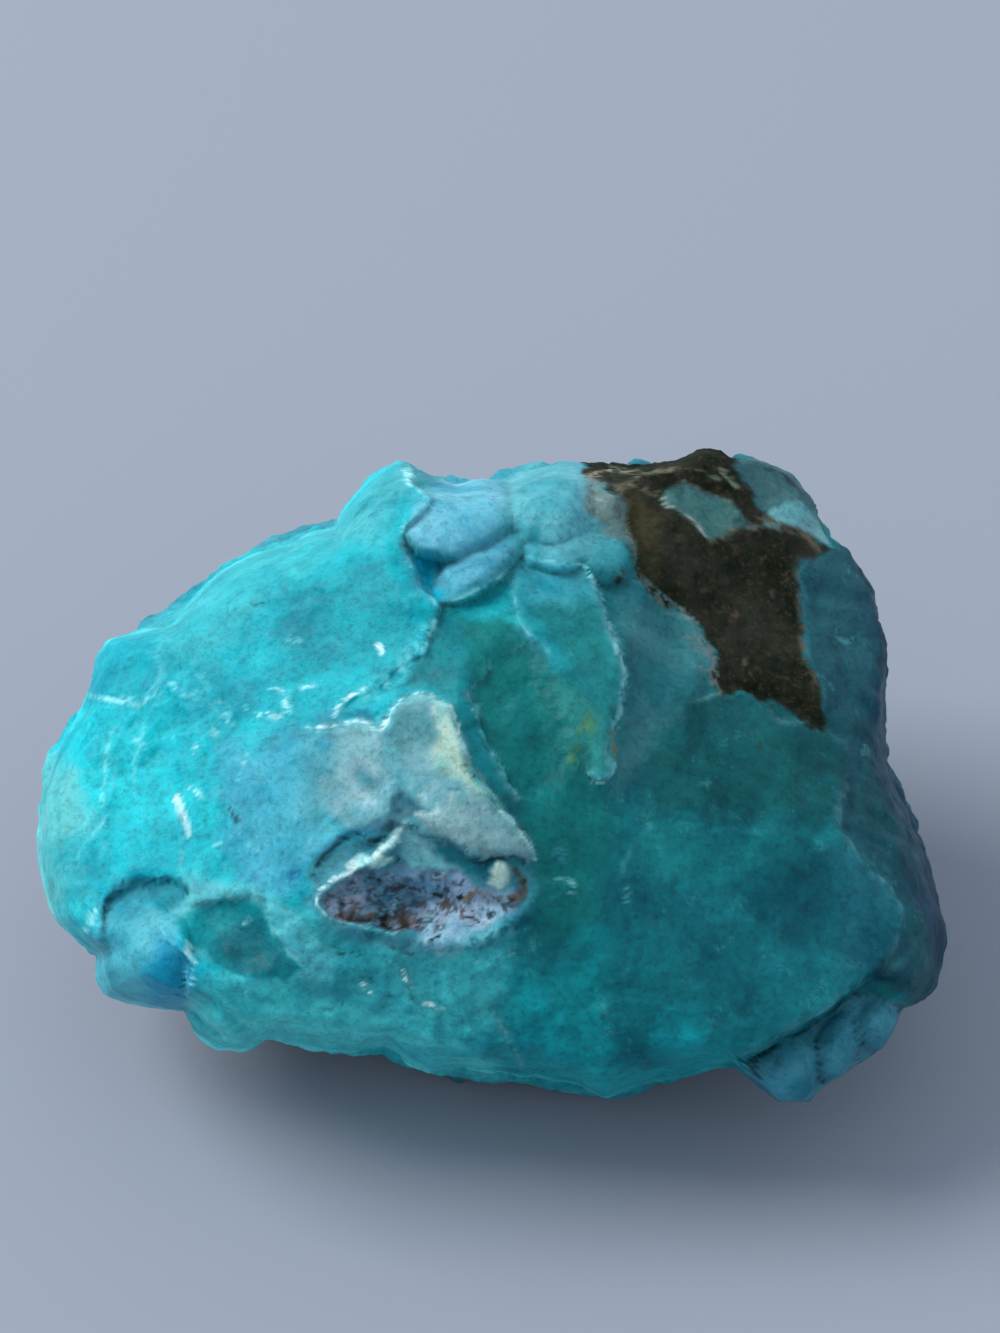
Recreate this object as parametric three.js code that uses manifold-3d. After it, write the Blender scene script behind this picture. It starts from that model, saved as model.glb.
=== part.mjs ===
import * as THREE from "three";
import { mergeVertices } from "three/addons/utils/BufferGeometryUtils.js";
import Module from "manifold-3d";

// A lump of botryoidal hemimorphite with a patch of brown iron-rich matrix. Millimetres, +Z up.
// The broken face is laid out flat first: u runs to the right along it, v up it and w out of it.
// The stone is then leaned back and set down on the small flat ground on its underside.

const FACE_LOOKS_UP_DEG = 42; // how far above level the broken face looks
const FACE_DEPTH = 34; // from the widest outline out to the middle of the face
const BACK_DEPTH = 33; // from the widest outline to the back
const OUTLINE_LEAN = -0.25; // the outline's plane leans by this much for each mm up the face
const NARROWING = 1 / 420; // the stone narrows by this much for each mm out of the face
const NARROWING_CENTRE = [1.0, 11.35];
const GROUND_DEPTH = 2.0; // how much of the underside is ground away
const LEDGE_EDGE = 0.22; // half width of a ledge's edge
const LEDGE_PULL = 1.9; // how far facets are drawn in to run along a ledge
const DIG_WIDTH = 1.6; // width of the crevice under a ledge
const SPHERE_DETAIL = 20;
const CROWDING = 0.4; // how much more finely the broken face is divided than the back

// The widest outline, anticlockwise from the right: u, v.
const OUTLINE = [
  [39.4, 2.0], [39.0, 5.8], [39.4, 9.5], [39.5, 12.8], [39.0, 15.8], [38.0, 18.5], [36.9, 20.8],
  [36.0, 23.0], [34.0, 24.7], [32.3, 26.9], [31.2, 28.8], [29.5, 30.6], [27.0, 31.8],
  [24.3, 32.5], [21.5, 33.0], [18.5, 32.0], [13.5, 31.2], [10.0, 31.7], [7.0, 31.8],
  [4.8, 30.9], [2.0, 29.8], [-0.8, 30.2], [-3.5, 29.6], [-6.2, 30.6], [-7.8, 31.4],
  [-9.2, 31.9], [-11.5, 30.5], [-13.3, 28.8], [-14.6, 27.0], [-15.6, 25.2], [-17.5, 24.8],
  [-20.0, 23.5], [-23.5, 22.6], [-26.0, 21.4], [-28.0, 19.8], [-30.0, 17.7], [-32.0, 15.4],
  [-35.0, 14.7], [-38.3, 14.1], [-39.5, 12.2], [-39.9, 9.6], [-40.6, 7.4], [-41.8, 5.2],
  [-43.3, 3.0], [-44.3, 0.0], [-45.1, -3.0], [-45.3, -6.2], [-44.7, -10.0], [-43.6, -13.6],
  [-41.4, -16.2], [-39.1, -17.6], [-39.4, -19.6], [-38.6, -21.4], [-36.3, -22.3],
  [-33.2, -22.8], [-30.3, -23.1], [-29.6, -25.2], [-27.2, -26.8], [-24.4, -27.0],
  [-22.0, -25.8], [-18.5, -26.6], [-14.0, -27.4], [-10.3, -26.5], [-8.5, -28.2], [-6.2, -29.2],
  [-3.0, -28.7], [1.0, -29.3], [5.0, -29.6], [9.3, -30.5], [11.6, -31.8], [15.0, -30.5],
  [19.0, -29.6], [22.5, -28.8], [24.8, -28.6], [28.6, -32.0], [32.0, -32.1], [33.8, -30.3],
  [37.0, -28.4], [39.2, -26.8], [40.6, -24.4], [41.3, -22.9], [43.6, -21.9], [44.9, -20.4],
  [45.3, -17.6], [45.6, -14.6], [44.8, -12.2], [43.9, -9.6], [43.0, -6.6], [42.0, -4.0],
  [40.7, -1.2],
];

// Planes that trim the broken face: w at the centre, rise per mm of u, rise per mm of v.
const FACE_PLANES = [
  [27.0, 0.42, -0.1],
  [26.5, -0.34, 0.02],
  [28.5, 0.05, 0.52],
  [29.5, -0.05, -0.5],
  [33.0, -0.62, -0.45],
];

// Planes that trim the back: direction in u, v, w and distance from the middle.
const BACK_PLANES = [
  { direction: [0.55, 0.35, -0.76], distance: 30.5 },
  { direction: [-0.62, 0.3, -0.72], distance: 31.0 },
  { direction: [0.1, -0.45, -0.89], distance: 27.5 },
  { direction: [-0.2, 0.78, -0.59], distance: 28.2 },
  { direction: [0.72, -0.3, -0.63], distance: 35.5 },
  { direction: [-0.7, -0.4, -0.59], distance: 35.0 },
  { direction: [0.05, 0.25, -0.97], distance: 28.5 },
  { direction: [0.4, -0.72, -0.57], distance: 31.5 },
  { direction: [-0.45, -0.7, -0.55], distance: 31.0 },
  { direction: [0, -0.743, -0.669], distance: 27.2 },
];

// Edges of broken sheets: u, v and how far the sheet on the left of the line stands up there.
// reach is how far back the sheet rises, dig is the depth of the crevice at its foot.
const LEDGES = [
  {
    name: "upper left sheet",
    reach: 9,
    dig: 0.2,
    line: [
      [-15.6, 6.3, 0.2], [-14.6, 7.6, 0.4], [-11.6, 8.8, 0.45], [-10.2, 10.0, 0.5], [-8.4, 11.7, 0.5],
      [-6.4, 12.9, 0.6], [-6.0, 14.2, 0.6], [-5.5, 15.4, 0.8], [-5.0, 17.3, 1.4], [-5.9, 18.3, 2.0],
      [-7.0, 19.4, 2.4], [-7.6, 21.4, 2.4], [-8.5, 23.7, 1.9], [-8.3, 25.4, 1.6], [-6.2, 27.3, 1.5],
      [-5.7, 28.4, 1.4], [-7.2, 29.3, 1.3], [-7.6, 30.4, 1.1], [-8.0, 31.6, 0.8],
    ],
  },
  {
    name: "pale window",
    reach: 8,
    dig: 0.2,
    line: [
      [4.8, -8.2, 0], [4.2, -7.0, 1.0], [3.2, -5.4, 1.2], [1.8, -3.6, 1.2], [0.4, -1.8, 1.1],
      [-0.6, -0.2, 1.0], [-1.6, 1.0, 1.0], [-2.2, 2.0, 1.0], [-3.0, 4.6, 1.1], [-3.2, 5.8, 1.2],
      [-4.0, 7.2, 1.2], [-5.4, 8.0, 1.1], [-7.4, 8.4, 1.1], [-9.0, 7.9, 1.1], [-9.8, 6.8, 1.1],
      [-10.2, 5.8, 1.0], [-11.0, 5.0, 1.0], [-12.2, 5.3, 0.9], [-13.4, 5.8, 0.8], [-15.0, 5.4, 0.7],
      [-16.8, 5.0, 0.5], [-18.8, 5.3, 0],
    ],
  },
  {
    name: "lip over the hollow",
    reach: 5,
    dig: 0.5,
    line: [
      [-18.4, -9.6, 0.2], [-17.6, -8.4, 0.5], [-16.4, -7.2, 0.7], [-14.9, -5.9, 0.8],
      [-13.3, -5.3, 0.8], [-12.3, -5.9, 0.9], [-10.7, -5.7, 1.0], [-10.0, -4.9, 1.1], [-9.4, -4.2, 1.1],
      [-8.2, -4.5, 1.1], [-6.2, -5.6, 1.2], [-4.6, -6.2, 1.2], [-2.8, -6.7, 1.3], [-2.2, -7.7, 1.3],
      [-1.2, -7.8, 1.3], [0.5, -7.3, 1.3], [2.3, -7.4, 1.1], [3.6, -7.9, 0.6], [5.0, -8.4, 0],
    ],
  },
  {
    name: "thin teal strip",
    reach: 4,
    dig: 0.2,
    line: [
      [3.4, -2.8, 0], [2.4, -0.8, 0.5], [1.4, 1.0, 0.7], [0.0, 3.0, 0.8], [-0.8, 5.2, 0.8],
      [-1.4, 6.7, 0.8], [-2.2, 7.9, 0.8], [-1.6, 9.0, 0.6], [-0.2, 11.0, 0.3], [-0.4, 12.8, 0],
    ],
  },
  {
    name: "thin shell",
    reach: 7,
    dig: 0.3,
    line: [
      [9.2, 0.9, 0], [10.0, 0.3, 0.6], [10.8, 0, 0.9], [11.8, 0.4, 1.1], [12.6, 1.2, 1.3],
      [12.2, 2.6, 1.6], [12.1, 3.8, 1.8], [12.5, 5.5, 2.0], [12.8, 7.2, 2.1], [13.6, 9.2, 2.2],
      [13.6, 11.3, 2.2], [12.9, 12.8, 2.2], [12.1, 14.6, 2.1], [11.4, 16.9, 1.9], [10.6, 19.5, 1.4],
      [9.6, 21.2, 0.8], [6.8, 21.8, 0.45], [4.6, 22.4, 0.4], [2.9, 22.0, 0.4], [1.9, 21.1, 0.4],
      [0, 19.9, 0.4], [-2.2, 18.8, 0.4], [-4.7, 17.4, 0.3],
    ],
  },
  {
    name: "inner shell",
    reach: 4,
    dig: 0.2,
    line: [
      [2.3, 21.0, 0.2], [2.3, 17.5, 0.4], [3.0, 15.9, 0.4], [4.0, 14.4, 0.4], [5.2, 13.2, 0.3],
      [6.4, 12.0, 0],
    ],
  },
  {
    name: "rind on the left of the brown patch",
    reach: 5,
    dig: 0.4,
    line: [
      [23.4, 8.4, 0.3], [22.4, 10.0, 0.7], [22.2, 12.0, 0.8], [21.5, 14.0, 0.9], [20.0, 16.0, 0.9],
      [17.8, 17.0, 0.9], [16.4, 18.7, 0.8], [15.0, 19.9, 0.8], [14.7, 21.5, 0.8], [14.5, 23.5, 0.8],
      [13.8, 24.8, 0.8], [12.6, 26.2, 0.7], [12.6, 28.4, 0.5], [11.6, 30.6, 0.2],
    ],
  },
  {
    name: "rind on the right of the brown patch",
    reach: 5,
    dig: 0.4,
    line: [
      [34.6, 22.8, 0.1], [32.4, 22.3, 0.3], [31.2, 21.5, 0.4], [30.9, 19.8, 0.4], [31.3, 18.0, 0.4],
      [31.2, 16.5, 0.4], [31.5, 14.0, 0.4], [31.9, 12.0, 0.35], [32.5, 10.3, 0.35], [33.3, 8.5, 0.3],
      [34.4, 6.2, 0.2],
    ],
  },
  {
    name: "top of the big face",
    reach: 7,
    dig: 0.6,
    line: [
      [35.5, 3.6, 0.2], [33.6, 5.0, 0.6], [31.5, 5.8, 0.8], [29.3, 6.3, 0.9], [28.0, 7.2, 1.0],
      [27.0, 8.2, 1.0], [26.0, 9.2, 1.0], [24.5, 9.2, 1.0], [23.2, 8.7, 0.8], [21.5, 8.4, 0.5],
      [19.8, 7.9, 0.2],
    ],
  },
  {
    name: "right edge of the big face",
    reach: 9,
    dig: 0.3,
    line: [
      [24.5, -28.0, 0.1], [26.2, -27.3, 0.3], [27.4, -26.7, 0.5], [28.8, -25.7, 0.6],
      [30.3, -24.8, 0.7], [33.2, -23.2, 0.7], [34.6, -21.9, 0.6], [36.0, -20.9, 0.4],
      [37.6, -19.9, 0.25], [39.4, -18.6, 0.25], [40.4, -17.4, 0.4], [40.9, -15.3, 0.6],
      [41.15, -12.8, 0.8], [40.0, -10.6, 0.9], [38.2, -8.8, 1.0], [36.0, -5.9, 1.1], [35.0, -4.7, 1.1],
      [34.9, -3.2, 0.8], [35.8, -1.2, 0.4], [36.5, 1, 0],
    ],
  },
  {
    name: "corner lobe",
    reach: 4,
    dig: 0.2,
    line: [
      [35.4, -21.2, 0.3], [38.2, -21.7, 0.6], [40.0, -22.4, 0.7], [41.4, -22.8, 0.7],
      [43.0, -22.4, 0.4],
    ],
  },
  {
    name: "lower edge of the left sheet",
    reach: 8,
    dig: 0.5,
    line: [
      [-40.2, -18.6, 0.5], [-38.9, -16.6, 1.2], [-38.7, -14.5, 1.5], [-38.4, -12.4, 1.6],
      [-37, -11, 1.7], [-35.5, -10.1, 1.7], [-34.2, -9.9, 1.6], [-31.5, -9.9, 1.5], [-30.6, -10.6, 1.4],
      [-30.2, -12.2, 1.1], [-28.5, -12.1, 1], [-26.5, -11.6, 1], [-24, -11.4, 1], [-22.6, -12.2, 1],
      [-22, -14, 0.9], [-20.8, -16, 0.7], [-19.2, -18, 0.3], [-18, -20, 0],
    ],
  },
  {
    name: "left foot",
    reach: 5,
    dig: 0.4,
    line: [
      [-33.6, -13.8, 0], [-32.5, -15.5, 0.7], [-31.5, -17, 1.2], [-30.4, -17.8, 1.4],
      [-29.9, -18.6, 1.4], [-30.1, -20.2, 1.3], [-30.2, -22, 1.2], [-30.4, -24, 0.8],
    ],
  },
  {
    name: "bright slash",
    reach: 5,
    dig: 0.1,
    line: [
      [-30.4, -11, 0.1], [-30.7, -8.4, 0.25], [-30.4, -6.2, 0.3], [-30.3, -5.3, 0.4],
      [-30.9, -3.6, 0.5], [-31.3, -2.4, 0.4], [-31.7, -1.2, 0.2], [-32.4, 0.2, 0],
    ],
  },
  {
    name: "band down the left side",
    reach: 6,
    dig: 0,
    line: [
      [-39.6, -10.5, 0], [-38.9, -7, 0.15], [-38.3, -4, 0.3], [-37.6, -1, 0.35], [-37.5, 1.6, 0.35],
      [-36.9, 3.6, 0.25], [-35.2, 6.2, 0.1], [-34, 8, 0],
    ],
  },
  {
    name: "cup at the left corner",
    reach: 3,
    dig: 0.2,
    line: [
      [-32.4, 14.4, 0.2], [-33.5, 12.8, 0.3], [-33.1, 11, 0.4], [-33.7, 9.2, 0.4], [-35, 8.3, 0.4],
      [-36.6, 7.8, 0.4], [-38.9, 8.1, 0.4], [-40.6, 9.4, 0.2],
    ],
  },
  {
    name: "low crack",
    reach: 4,
    dig: 0.2,
    line: [
      [-6.2, -24.2, 0], [-7, -22.8, 0.4], [-7.7, -21.2, 0.5], [-8.1, -19.4, 0.3], [-8.4, -17.4, 0.1],
    ],
  },
  {
    name: "low facet",
    reach: 6,
    dig: 0,
    line: [
      [3.4, -29.6, 0.3], [2.6, -27, 0.5], [1.4, -25.2, 0.5], [0.6, -23.4, 0.4], [-0.8, -21.8, 0.2],
      [-3, -21.4, 0],
    ],
  },
  {
    name: "step on the big face",
    reach: 5,
    dig: 0.2,
    line: [
      [33.6, -6.0, 0.1], [31.0, -5.0, 0.2], [27.0, -4.9, 0.25], [22.0, -5.0, 0.25], [19.0, -4.2, 0.2],
      [17.0, -4.3, 0.15], [15.0, -5.6, 0],
    ],
  },
  {
    name: "slip beside the step",
    reach: 4,
    dig: 0.2,
    line: [
      [15.6, -5.2, 0], [14.2, -6.6, 0.2], [13.2, -8.4, 0.3], [13.4, -10.0, 0.25], [13.8, -11.6, 0],
    ],
  },
  {
    name: "tongue beside the hollow",
    reach: 3,
    dig: 0.1,
    line: [
      [3.8, -12.6, 0], [6.6, -12.2, 0.15], [8.2, -11.2, 0.3], [8.4, -10.2, 0.35], [6.6, -10.1, 0.3],
      [5, -9.6, 0.1],
    ],
  },
];

// Rounded lobes, as ovals in u and v. Where two overlap the higher one shows.
const DOMES = [
  { centre: [-3.0, 26.2], half: [5.9, 4.6], turn: 15, rise: 5.2 },
  { centre: [-0.9, 21.4], half: [5.8, 2.4], turn: 38, rise: 3.2 },
  { centre: [-1.0, 29.6], half: [2.4, 1.2], turn: 0, rise: 1.6 },
  { centre: [-6.0, 30.0], half: [2.6, 1.5], turn: -10, rise: 1.4 },
  { centre: [6.0, 27.4], half: [4.6, 4.8], turn: 0, rise: 3.8 },
  { centre: [7.0, 23.6], half: [4.2, 2.8], turn: 0, rise: 2.2 },
  { centre: [12.0, 22.6], half: [3.2, 3.2], turn: 0, rise: 1.8 },
  { centre: [11.6, 26.8], half: [2.8, 2.6], turn: 0, rise: 1.4 },
  { centre: [30.3, 26.8], half: [2.6, 1.6], turn: -10, rise: 1.0 },
  { centre: [0.7, -9.3], half: [1.4, 1.3], turn: 0, rise: 1.2 },
  { centre: [-35.0, -17.6], half: [5.2, 5.4], turn: 0, rise: 1.8 },
];

// The bay below the big face and the lobes in it. level, foot and rise are heights out of the face.
const BAY = { centre: [34.5, -26.7], half: [11.0, 6.5], turn: 28, level: 10.2 };
const LOBES = [
  { centre: [29.9, -28.5], half: [3.2, 3.9], turn: 0, foot: 9.2, rise: 3.8 },
  { centre: [34.7, -26.5], half: [2.3, 3.8], turn: -20, foot: 8.8, rise: 3.4 },
  { centre: [38.6, -24.2], half: [2.4, 3.0], turn: 10, foot: 8.0, rise: 3.4 },
];

const HOLLOWS = [
  { centre: [-1.5, 22.5], half: [9.0, 7.5], turn: 0, depth: 1.4 },
  { centre: [-5.6, 20.2], half: [1.6, 2.6], turn: 20, depth: 1.3 },
  { centre: [2.6, 5.4], half: [6.0, 9.5], turn: 12, depth: 1.8 },
  { centre: [16.2, 9.0], half: [4.4, 11.5], turn: -10, depth: 1.2 },
  { centre: [25.0, 15.5], half: [9.5, 12.5], turn: 20, depth: 1.0 },
  { centre: [21.4, 27.0], half: [4.6, 2.2], turn: -35, depth: 0.6 },
  { centre: [-6.8, -10.2], half: [12.0, 6.2], turn: -6, depth: 1.9 },
  { centre: [-9.0, -12.2], half: [8.4, 2.8], turn: -2, depth: 1.0 },
  { centre: [-8.5, -2.6], half: [1.8, 1.8], turn: 0, depth: 0.7 },
  { centre: [-36.2, 10.6], half: [2.8, 2.4], turn: 0, depth: 0.5 },
  { centre: [-25.5, -15.8], half: [5.0, 4.4], turn: -20, depth: 1.2 },
  { centre: [31.8, -12.4], half: [5.6, 7.0], turn: 0, depth: 0.7 },
];

// Low ridges: u, v and height along each, with the half width of its section.
const RIDGES = [
  {
    name: "white rim in the hollow",
    width: 0.7,
    line: [
      [-17.1, -12.4, 0.4], [-16.6, -11.2, 0.6], [-15.6, -10.1, 0.7], [-13.6, -9.0, 0.8],
      [-12.0, -8.0, 1.0], [-10.3, -7.0, 1.1], [-9.5, -5.9, 1.1], [-9.1, -4.8, 0.6],
    ],
  },
  {
    name: "lower rim of the hollow",
    width: 0.9,
    line: [
      [-17.0, -12.6, 0.3], [-15.6, -14.1, 0.6], [-12.2, -14.8, 0.7], [-8.0, -15.6, 0.7],
      [-5.0, -16.6, 0.5], [-1.0, -16.2, 0.5], [1.6, -14.2, 0.6], [3.6, -12.6, 0.5], [4.4, -10.8, 0.4],
    ],
  },
  {
    name: "rib across the brown patch",
    width: 1.3,
    line: [
      [15.5, 30.6, 0.5], [18.0, 31.0, 0.8], [21.2, 30.8, 0.9], [23.4, 29.4, 1.0], [25.2, 27.6, 1.0],
      [27.2, 25.8, 0.9], [30.2, 25.0, 0.8], [33.4, 23.2, 0.5],
    ],
  },
  {
    name: "low ridge along the front",
    width: 2.0,
    line: [
      [-28.0, -20.6, 0.2], [-24.0, -20.2, 0.5], [-19.0, -19.6, 0.6], [-14.0, -18.8, 0.6],
      [-10.0, -18.2, 0.4],
    ],
  },
];

// Right of this line the surface is botryoidal crust.
const CRUST_EDGE = [
  [31.5, 30.0], [31.2, 21.5], [31.3, 17.0], [32.0, 11.5], [33.5, 7.5], [35.0, 3.0],
  [35.2, -4.5], [38.0, -8.0], [41.0, -12.0], [41.2, -16.0], [38.5, -19.0], [36.0, -21.6],
  [31.0, -25.2], [27.0, -27.4], [24.0, -29.5],
];

const CRUST_GROWTHS = { count: 190, first: -1, last: 0.45, radius: [2.6, 7.0], key: 0 };
const BROKEN_FACETS = { count: 46, first: -1, last: 0.25, radius: [1, 1], key: 2000 };
const FACET_STEEPNESS = 0.75;
const FACET_LIMIT = 3;
const OUTLINE_ROOM = 45; // how soon behind the outline a bump may stand out
const SWELL = { length: 9.0, height: 0.45 };
const RIPPLE = { length: 3.6, height: 0.18 };

const GOLDEN_ANGLE = 2.399963;
const COLOUR = 0x2f97a3;

function clamp(x, low, high) {
  return Math.min(high, Math.max(low, x));
}

function smoothstep(from, to, x) {
  const t = clamp((x - from) / (to - from), 0, 1);
  return t * t * (3 - 2 * t);
}

function scatter(key) {
  const x = Math.sin(key * 12.9898) * 43758.5453;
  return x - Math.floor(x);
}

function softMin(a, b, blend) {
  const h = clamp(0.5 + (0.5 * (b - a)) / blend, 0, 1);
  return b + (a - b) * h - blend * h * (1 - h);
}

function waves(u, v, w, length) {
  const x = u / length;
  const y = v / length;
  const z = w / length;
  const one = Math.sin(1.7 * x + 0.9 * y + 1.3) * Math.sin(1.1 * y - 1.9 * z + 0.4);
  const two = Math.sin(2.3 * z + 0.8 * x + 2.1) * Math.cos(1.9 * x - 1.3 * y + 0.7);
  const three = Math.cos(1.3 * y + 2.1 * z + 0.3) * Math.sin(2.7 * x + 0.6 * z + 1.9);
  return (one + two + three) / 1.8;
}

// Radius of the outline for each half degree, as a broad shape and the detail on top of it.
const OUTLINE_STEPS = 720;
const OUTLINE_BLUR = 30;

function outlineRadii() {
  const corners = OUTLINE.map(([u, v]) => [Math.atan2(v, u), Math.hypot(u, v)]);
  corners.sort((a, b) => a[0] - b[0]);
  const radii = [];
  for (let k = 0; k < OUTLINE_STEPS; k += 1) {
    const angle = -Math.PI + (2 * Math.PI * k) / OUTLINE_STEPS;
    let next = corners.findIndex((corner) => corner[0] > angle);
    if (next < 0) {
      next = 0;
    }
    const a = corners[(next + corners.length - 1) % corners.length];
    const b = corners[next];
    const turn = 2 * Math.PI;
    const span = (b[0] - a[0] + turn) % turn;
    const along = ((angle - a[0] + turn) % turn) / span;
    radii.push(a[1] + (b[1] - a[1]) * along);
  }
  const broad = radii.map((_, k) => {
    let sum = 0;
    let total = 0;
    for (let j = -OUTLINE_BLUR; j <= OUTLINE_BLUR; j += 1) {
      const weight = 0.5 + 0.5 * Math.cos((Math.PI * j) / (OUTLINE_BLUR + 1));
      sum += weight * radii[(k + j + OUTLINE_STEPS) % OUTLINE_STEPS];
      total += weight;
    }
    return sum / total;
  });
  const detail = radii.map((radius, k) => radius - broad[k]);
  return { broad, detail };
}

const { broad: BROAD_RADII, detail: DETAIL_RADII } = outlineRadii();

function radiusAt(radii, angle) {
  const place = ((angle + Math.PI) / (2 * Math.PI)) * OUTLINE_STEPS;
  const k = Math.floor(place);
  const a = radii[k % OUTLINE_STEPS];
  const b = radii[(k + 1) % OUTLINE_STEPS];
  return a + (b - a) * (place - k);
}

// The trimmed lump, before anything stands on it. c is how squarely a direction looks out of the face.
function baseForm([a, b, c]) {
  const spread = Math.min(1, Math.hypot(a, b));
  const angle = Math.atan2(b, a);
  const detail = c > 0 ? spread ** 8 : smoothstep(-0.2, 0, c);
  const radius = spread * (radiusAt(BROAD_RADII, angle) + radiusAt(DETAIL_RADII, angle) * detail);
  const u = radius * Math.cos(angle);
  const v = radius * Math.sin(angle);
  const bulge = Math.sqrt(1 - spread ** 2.3);
  let w = -BACK_DEPTH * bulge;
  if (c > 0) {
    w = FACE_DEPTH * bulge;
    for (const [middle, alongU, alongV] of FACE_PLANES) {
      w = softMin(w, middle + alongU * u + alongV * v, 3);
    }
  }
  return [u, v, w];
}

function curveThrough(line) {
  const points = line.map(([u, v, rise]) => new THREE.Vector3(u, v, rise ?? 0));
  return new THREE.CatmullRomCurve3(points, false, "catmullrom", 0.5);
}

// Ready-made points along a line: its corners for the exact side, and even samples for the soft distance.
function prepareLine(line) {
  const curve = curveThrough(line);
  const length = curve.getLength();
  const count = Math.max(2, Math.round(length / 0.8));
  const corners = curve.getPoints((line.length - 1) * 3);
  const samples = curve.getSpacedPoints(count);
  return { corners, samples, step: length / count };
}

// Where (u, v) lies beside a line. across is the distance to it, positive on its left. turn is how much
// of a half turn the line fills as seen from there: 1 beside it and 0 straight past its ends. away is
// the softened distance, rise is the height there and toward points to the nearest place on the line.
function besideLine({ corners, samples, step }, u, v) {
  const found = { toward: [0, 0] };
  let nearest = Infinity;
  let angle = 0;
  for (let k = 0; k + 1 < corners.length; k += 1) {
    const a = corners[k];
    const b = corners[k + 1];
    const du = b.x - a.x;
    const dv = b.y - a.y;
    const t = clamp(((u - a.x) * du + (v - a.y) * dv) / (du * du + dv * dv), 0, 1);
    const toU = a.x + t * du - u;
    const toV = a.y + t * dv - v;
    const distance = Math.hypot(toU, toV);
    if (distance < nearest) {
      nearest = distance;
      found.toward = distance > 0 ? [toU / distance, toV / distance] : [0, 0];
    }
    const crossed = (a.x - u) * (b.y - v) - (a.y - v) * (b.x - u);
    const dotted = (a.x - u) * (b.x - u) + (a.y - v) * (b.y - v);
    angle += Math.atan2(crossed, dotted);
  }
  found.across = angle > 0 ? nearest : -nearest;
  found.turn = Math.min(Math.abs(angle) / Math.PI, 1);
  let total = 0;
  let risen = 0;
  for (const sample of samples) {
    const square = (u - sample.x) ** 2 + (v - sample.y) ** 2 + 0.16;
    const weight = step / (square * square * Math.sqrt(square));
    total += weight;
    risen += weight * sample.z;
  }
  found.rise = risen / total;
  found.away = Math.sqrt(Math.max(1 / Math.sqrt(0.75 * total) - 0.16, 0));
  return found;
}

for (const item of [...LEDGES, ...RIDGES]) {
  item.ready = prepareLine(item.line);
}
const CRUST_LINE = prepareLine(CRUST_EDGE);

// How far inside an oval (u, v) is: 1 at its centre, 0 on its edge.
function insideOval({ centre, half, turn }, u, v) {
  const angle = THREE.MathUtils.degToRad(turn);
  const x = u - centre[0];
  const y = v - centre[1];
  const a = (x * Math.cos(angle) + y * Math.sin(angle)) / half[0];
  const b = (-x * Math.sin(angle) + y * Math.cos(angle)) / half[1];
  return clamp(1 - a * a - b * b, 0, 1);
}

// Draws a point of the face in towards the nearest ledge, so that facets run along its edge.
function pullToLedge(u, v) {
  let near = 9;
  let second = 9;
  let pull = [0, 0];
  for (const { ready } of LEDGES) {
    const { across, turn, rise, toward } = besideLine(ready, u, v);
    const distance = Math.abs(across);
    if (distance < near) {
      second = near;
      near = distance;
      const kept = Math.min(distance, LEDGE_PULL);
      const eased = 0.12 * kept + (0.88 * kept * kept) / LEDGE_PULL;
      const move = (kept - eased) * clamp(rise / 0.6, 0, 1) * smoothstep(0.3, 0.8, turn);
      pull = [move * toward[0], move * toward[1]];
    } else {
      second = Math.min(second, distance);
    }
  }
  const keep = clamp((second - near) / 0.8, 0, 1);
  return [u + pull[0] * keep, v + pull[1] * keep];
}

// How far the surface of the face stands out at (u, v).
function faceRelief(u, v) {
  let lift = 0;
  for (const hollow of HOLLOWS) {
    lift -= hollow.depth * smoothstep(0, 1, insideOval(hollow, u, v));
  }
  let top = 0;
  for (const dome of DOMES) {
    top = Math.max(top, dome.rise * Math.sqrt(insideOval(dome, u, v)));
  }
  lift += top;
  for (const { ready, reach, dig } of LEDGES) {
    const { across, turn, away, rise } = besideLine(ready, u, v);
    const up = 1 / (1 + Math.exp(-clamp(across / LEDGE_EDGE, -30, 30)));
    lift += rise * up * turn ** 0.6 * Math.exp(-((away / reach) ** 1.3));
    lift -= (1 - up) * turn * dig * (clamp(rise, 0, 2) / 2) * Math.exp(-away / DIG_WIDTH);
  }
  for (const { ready, width } of RIDGES) {
    const { away, rise } = besideLine(ready, u, v);
    lift += rise * Math.exp(-((away / width) ** 2));
  }
  return lift;
}

// Lowers the floor of the bay and stands the rounded lobes on it.
function standLobes(u, v, w, inBay) {
  let height = w - inBay * Math.max(w - BAY.level, 0);
  for (const lobe of LOBES) {
    const inside = insideOval(lobe, u, v);
    if (inside > 0) {
      height = Math.max(height, lobe.foot + lobe.rise * inside ** 0.8);
    }
  }
  return height;
}

// Places spread evenly over the lump in a spiral, each with a size and a slope of its own.
function spread({ count, first, last, radius, key }) {
  const places = [];
  for (let k = 0; k < count; k += 1) {
    const c = first + ((last - first) * (k + 0.5)) / count;
    const angle = k * GOLDEN_ANGLE + 0.9 * scatter(k + key);
    const s = Math.sqrt(Math.max(0, 1 - c * c));
    places.push({
      at: baseForm([s * Math.cos(angle), s * Math.sin(angle), c]),
      radius: radius[0] + (radius[1] - radius[0]) * scatter(k + key + 300) ** 2,
      slope: [500, 700, 900].map((shift) => scatter(k + key + shift) - 0.5),
    });
  }
  return places;
}

const growths = spread(CRUST_GROWTHS);
const facets = spread(BROKEN_FACETS);

function growthHeight(u, v, w) {
  let height = 0;
  for (const { at, radius } of growths) {
    const square = radius ** 2 - (u - at[0]) ** 2 - (v - at[1]) ** 2 - (w - at[2]) ** 2;
    height = Math.max(height, Math.sqrt(Math.max(square, 0)) * 0.6 - 0.14 * radius);
  }
  return height * 0.85 - 0.6;
}

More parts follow.
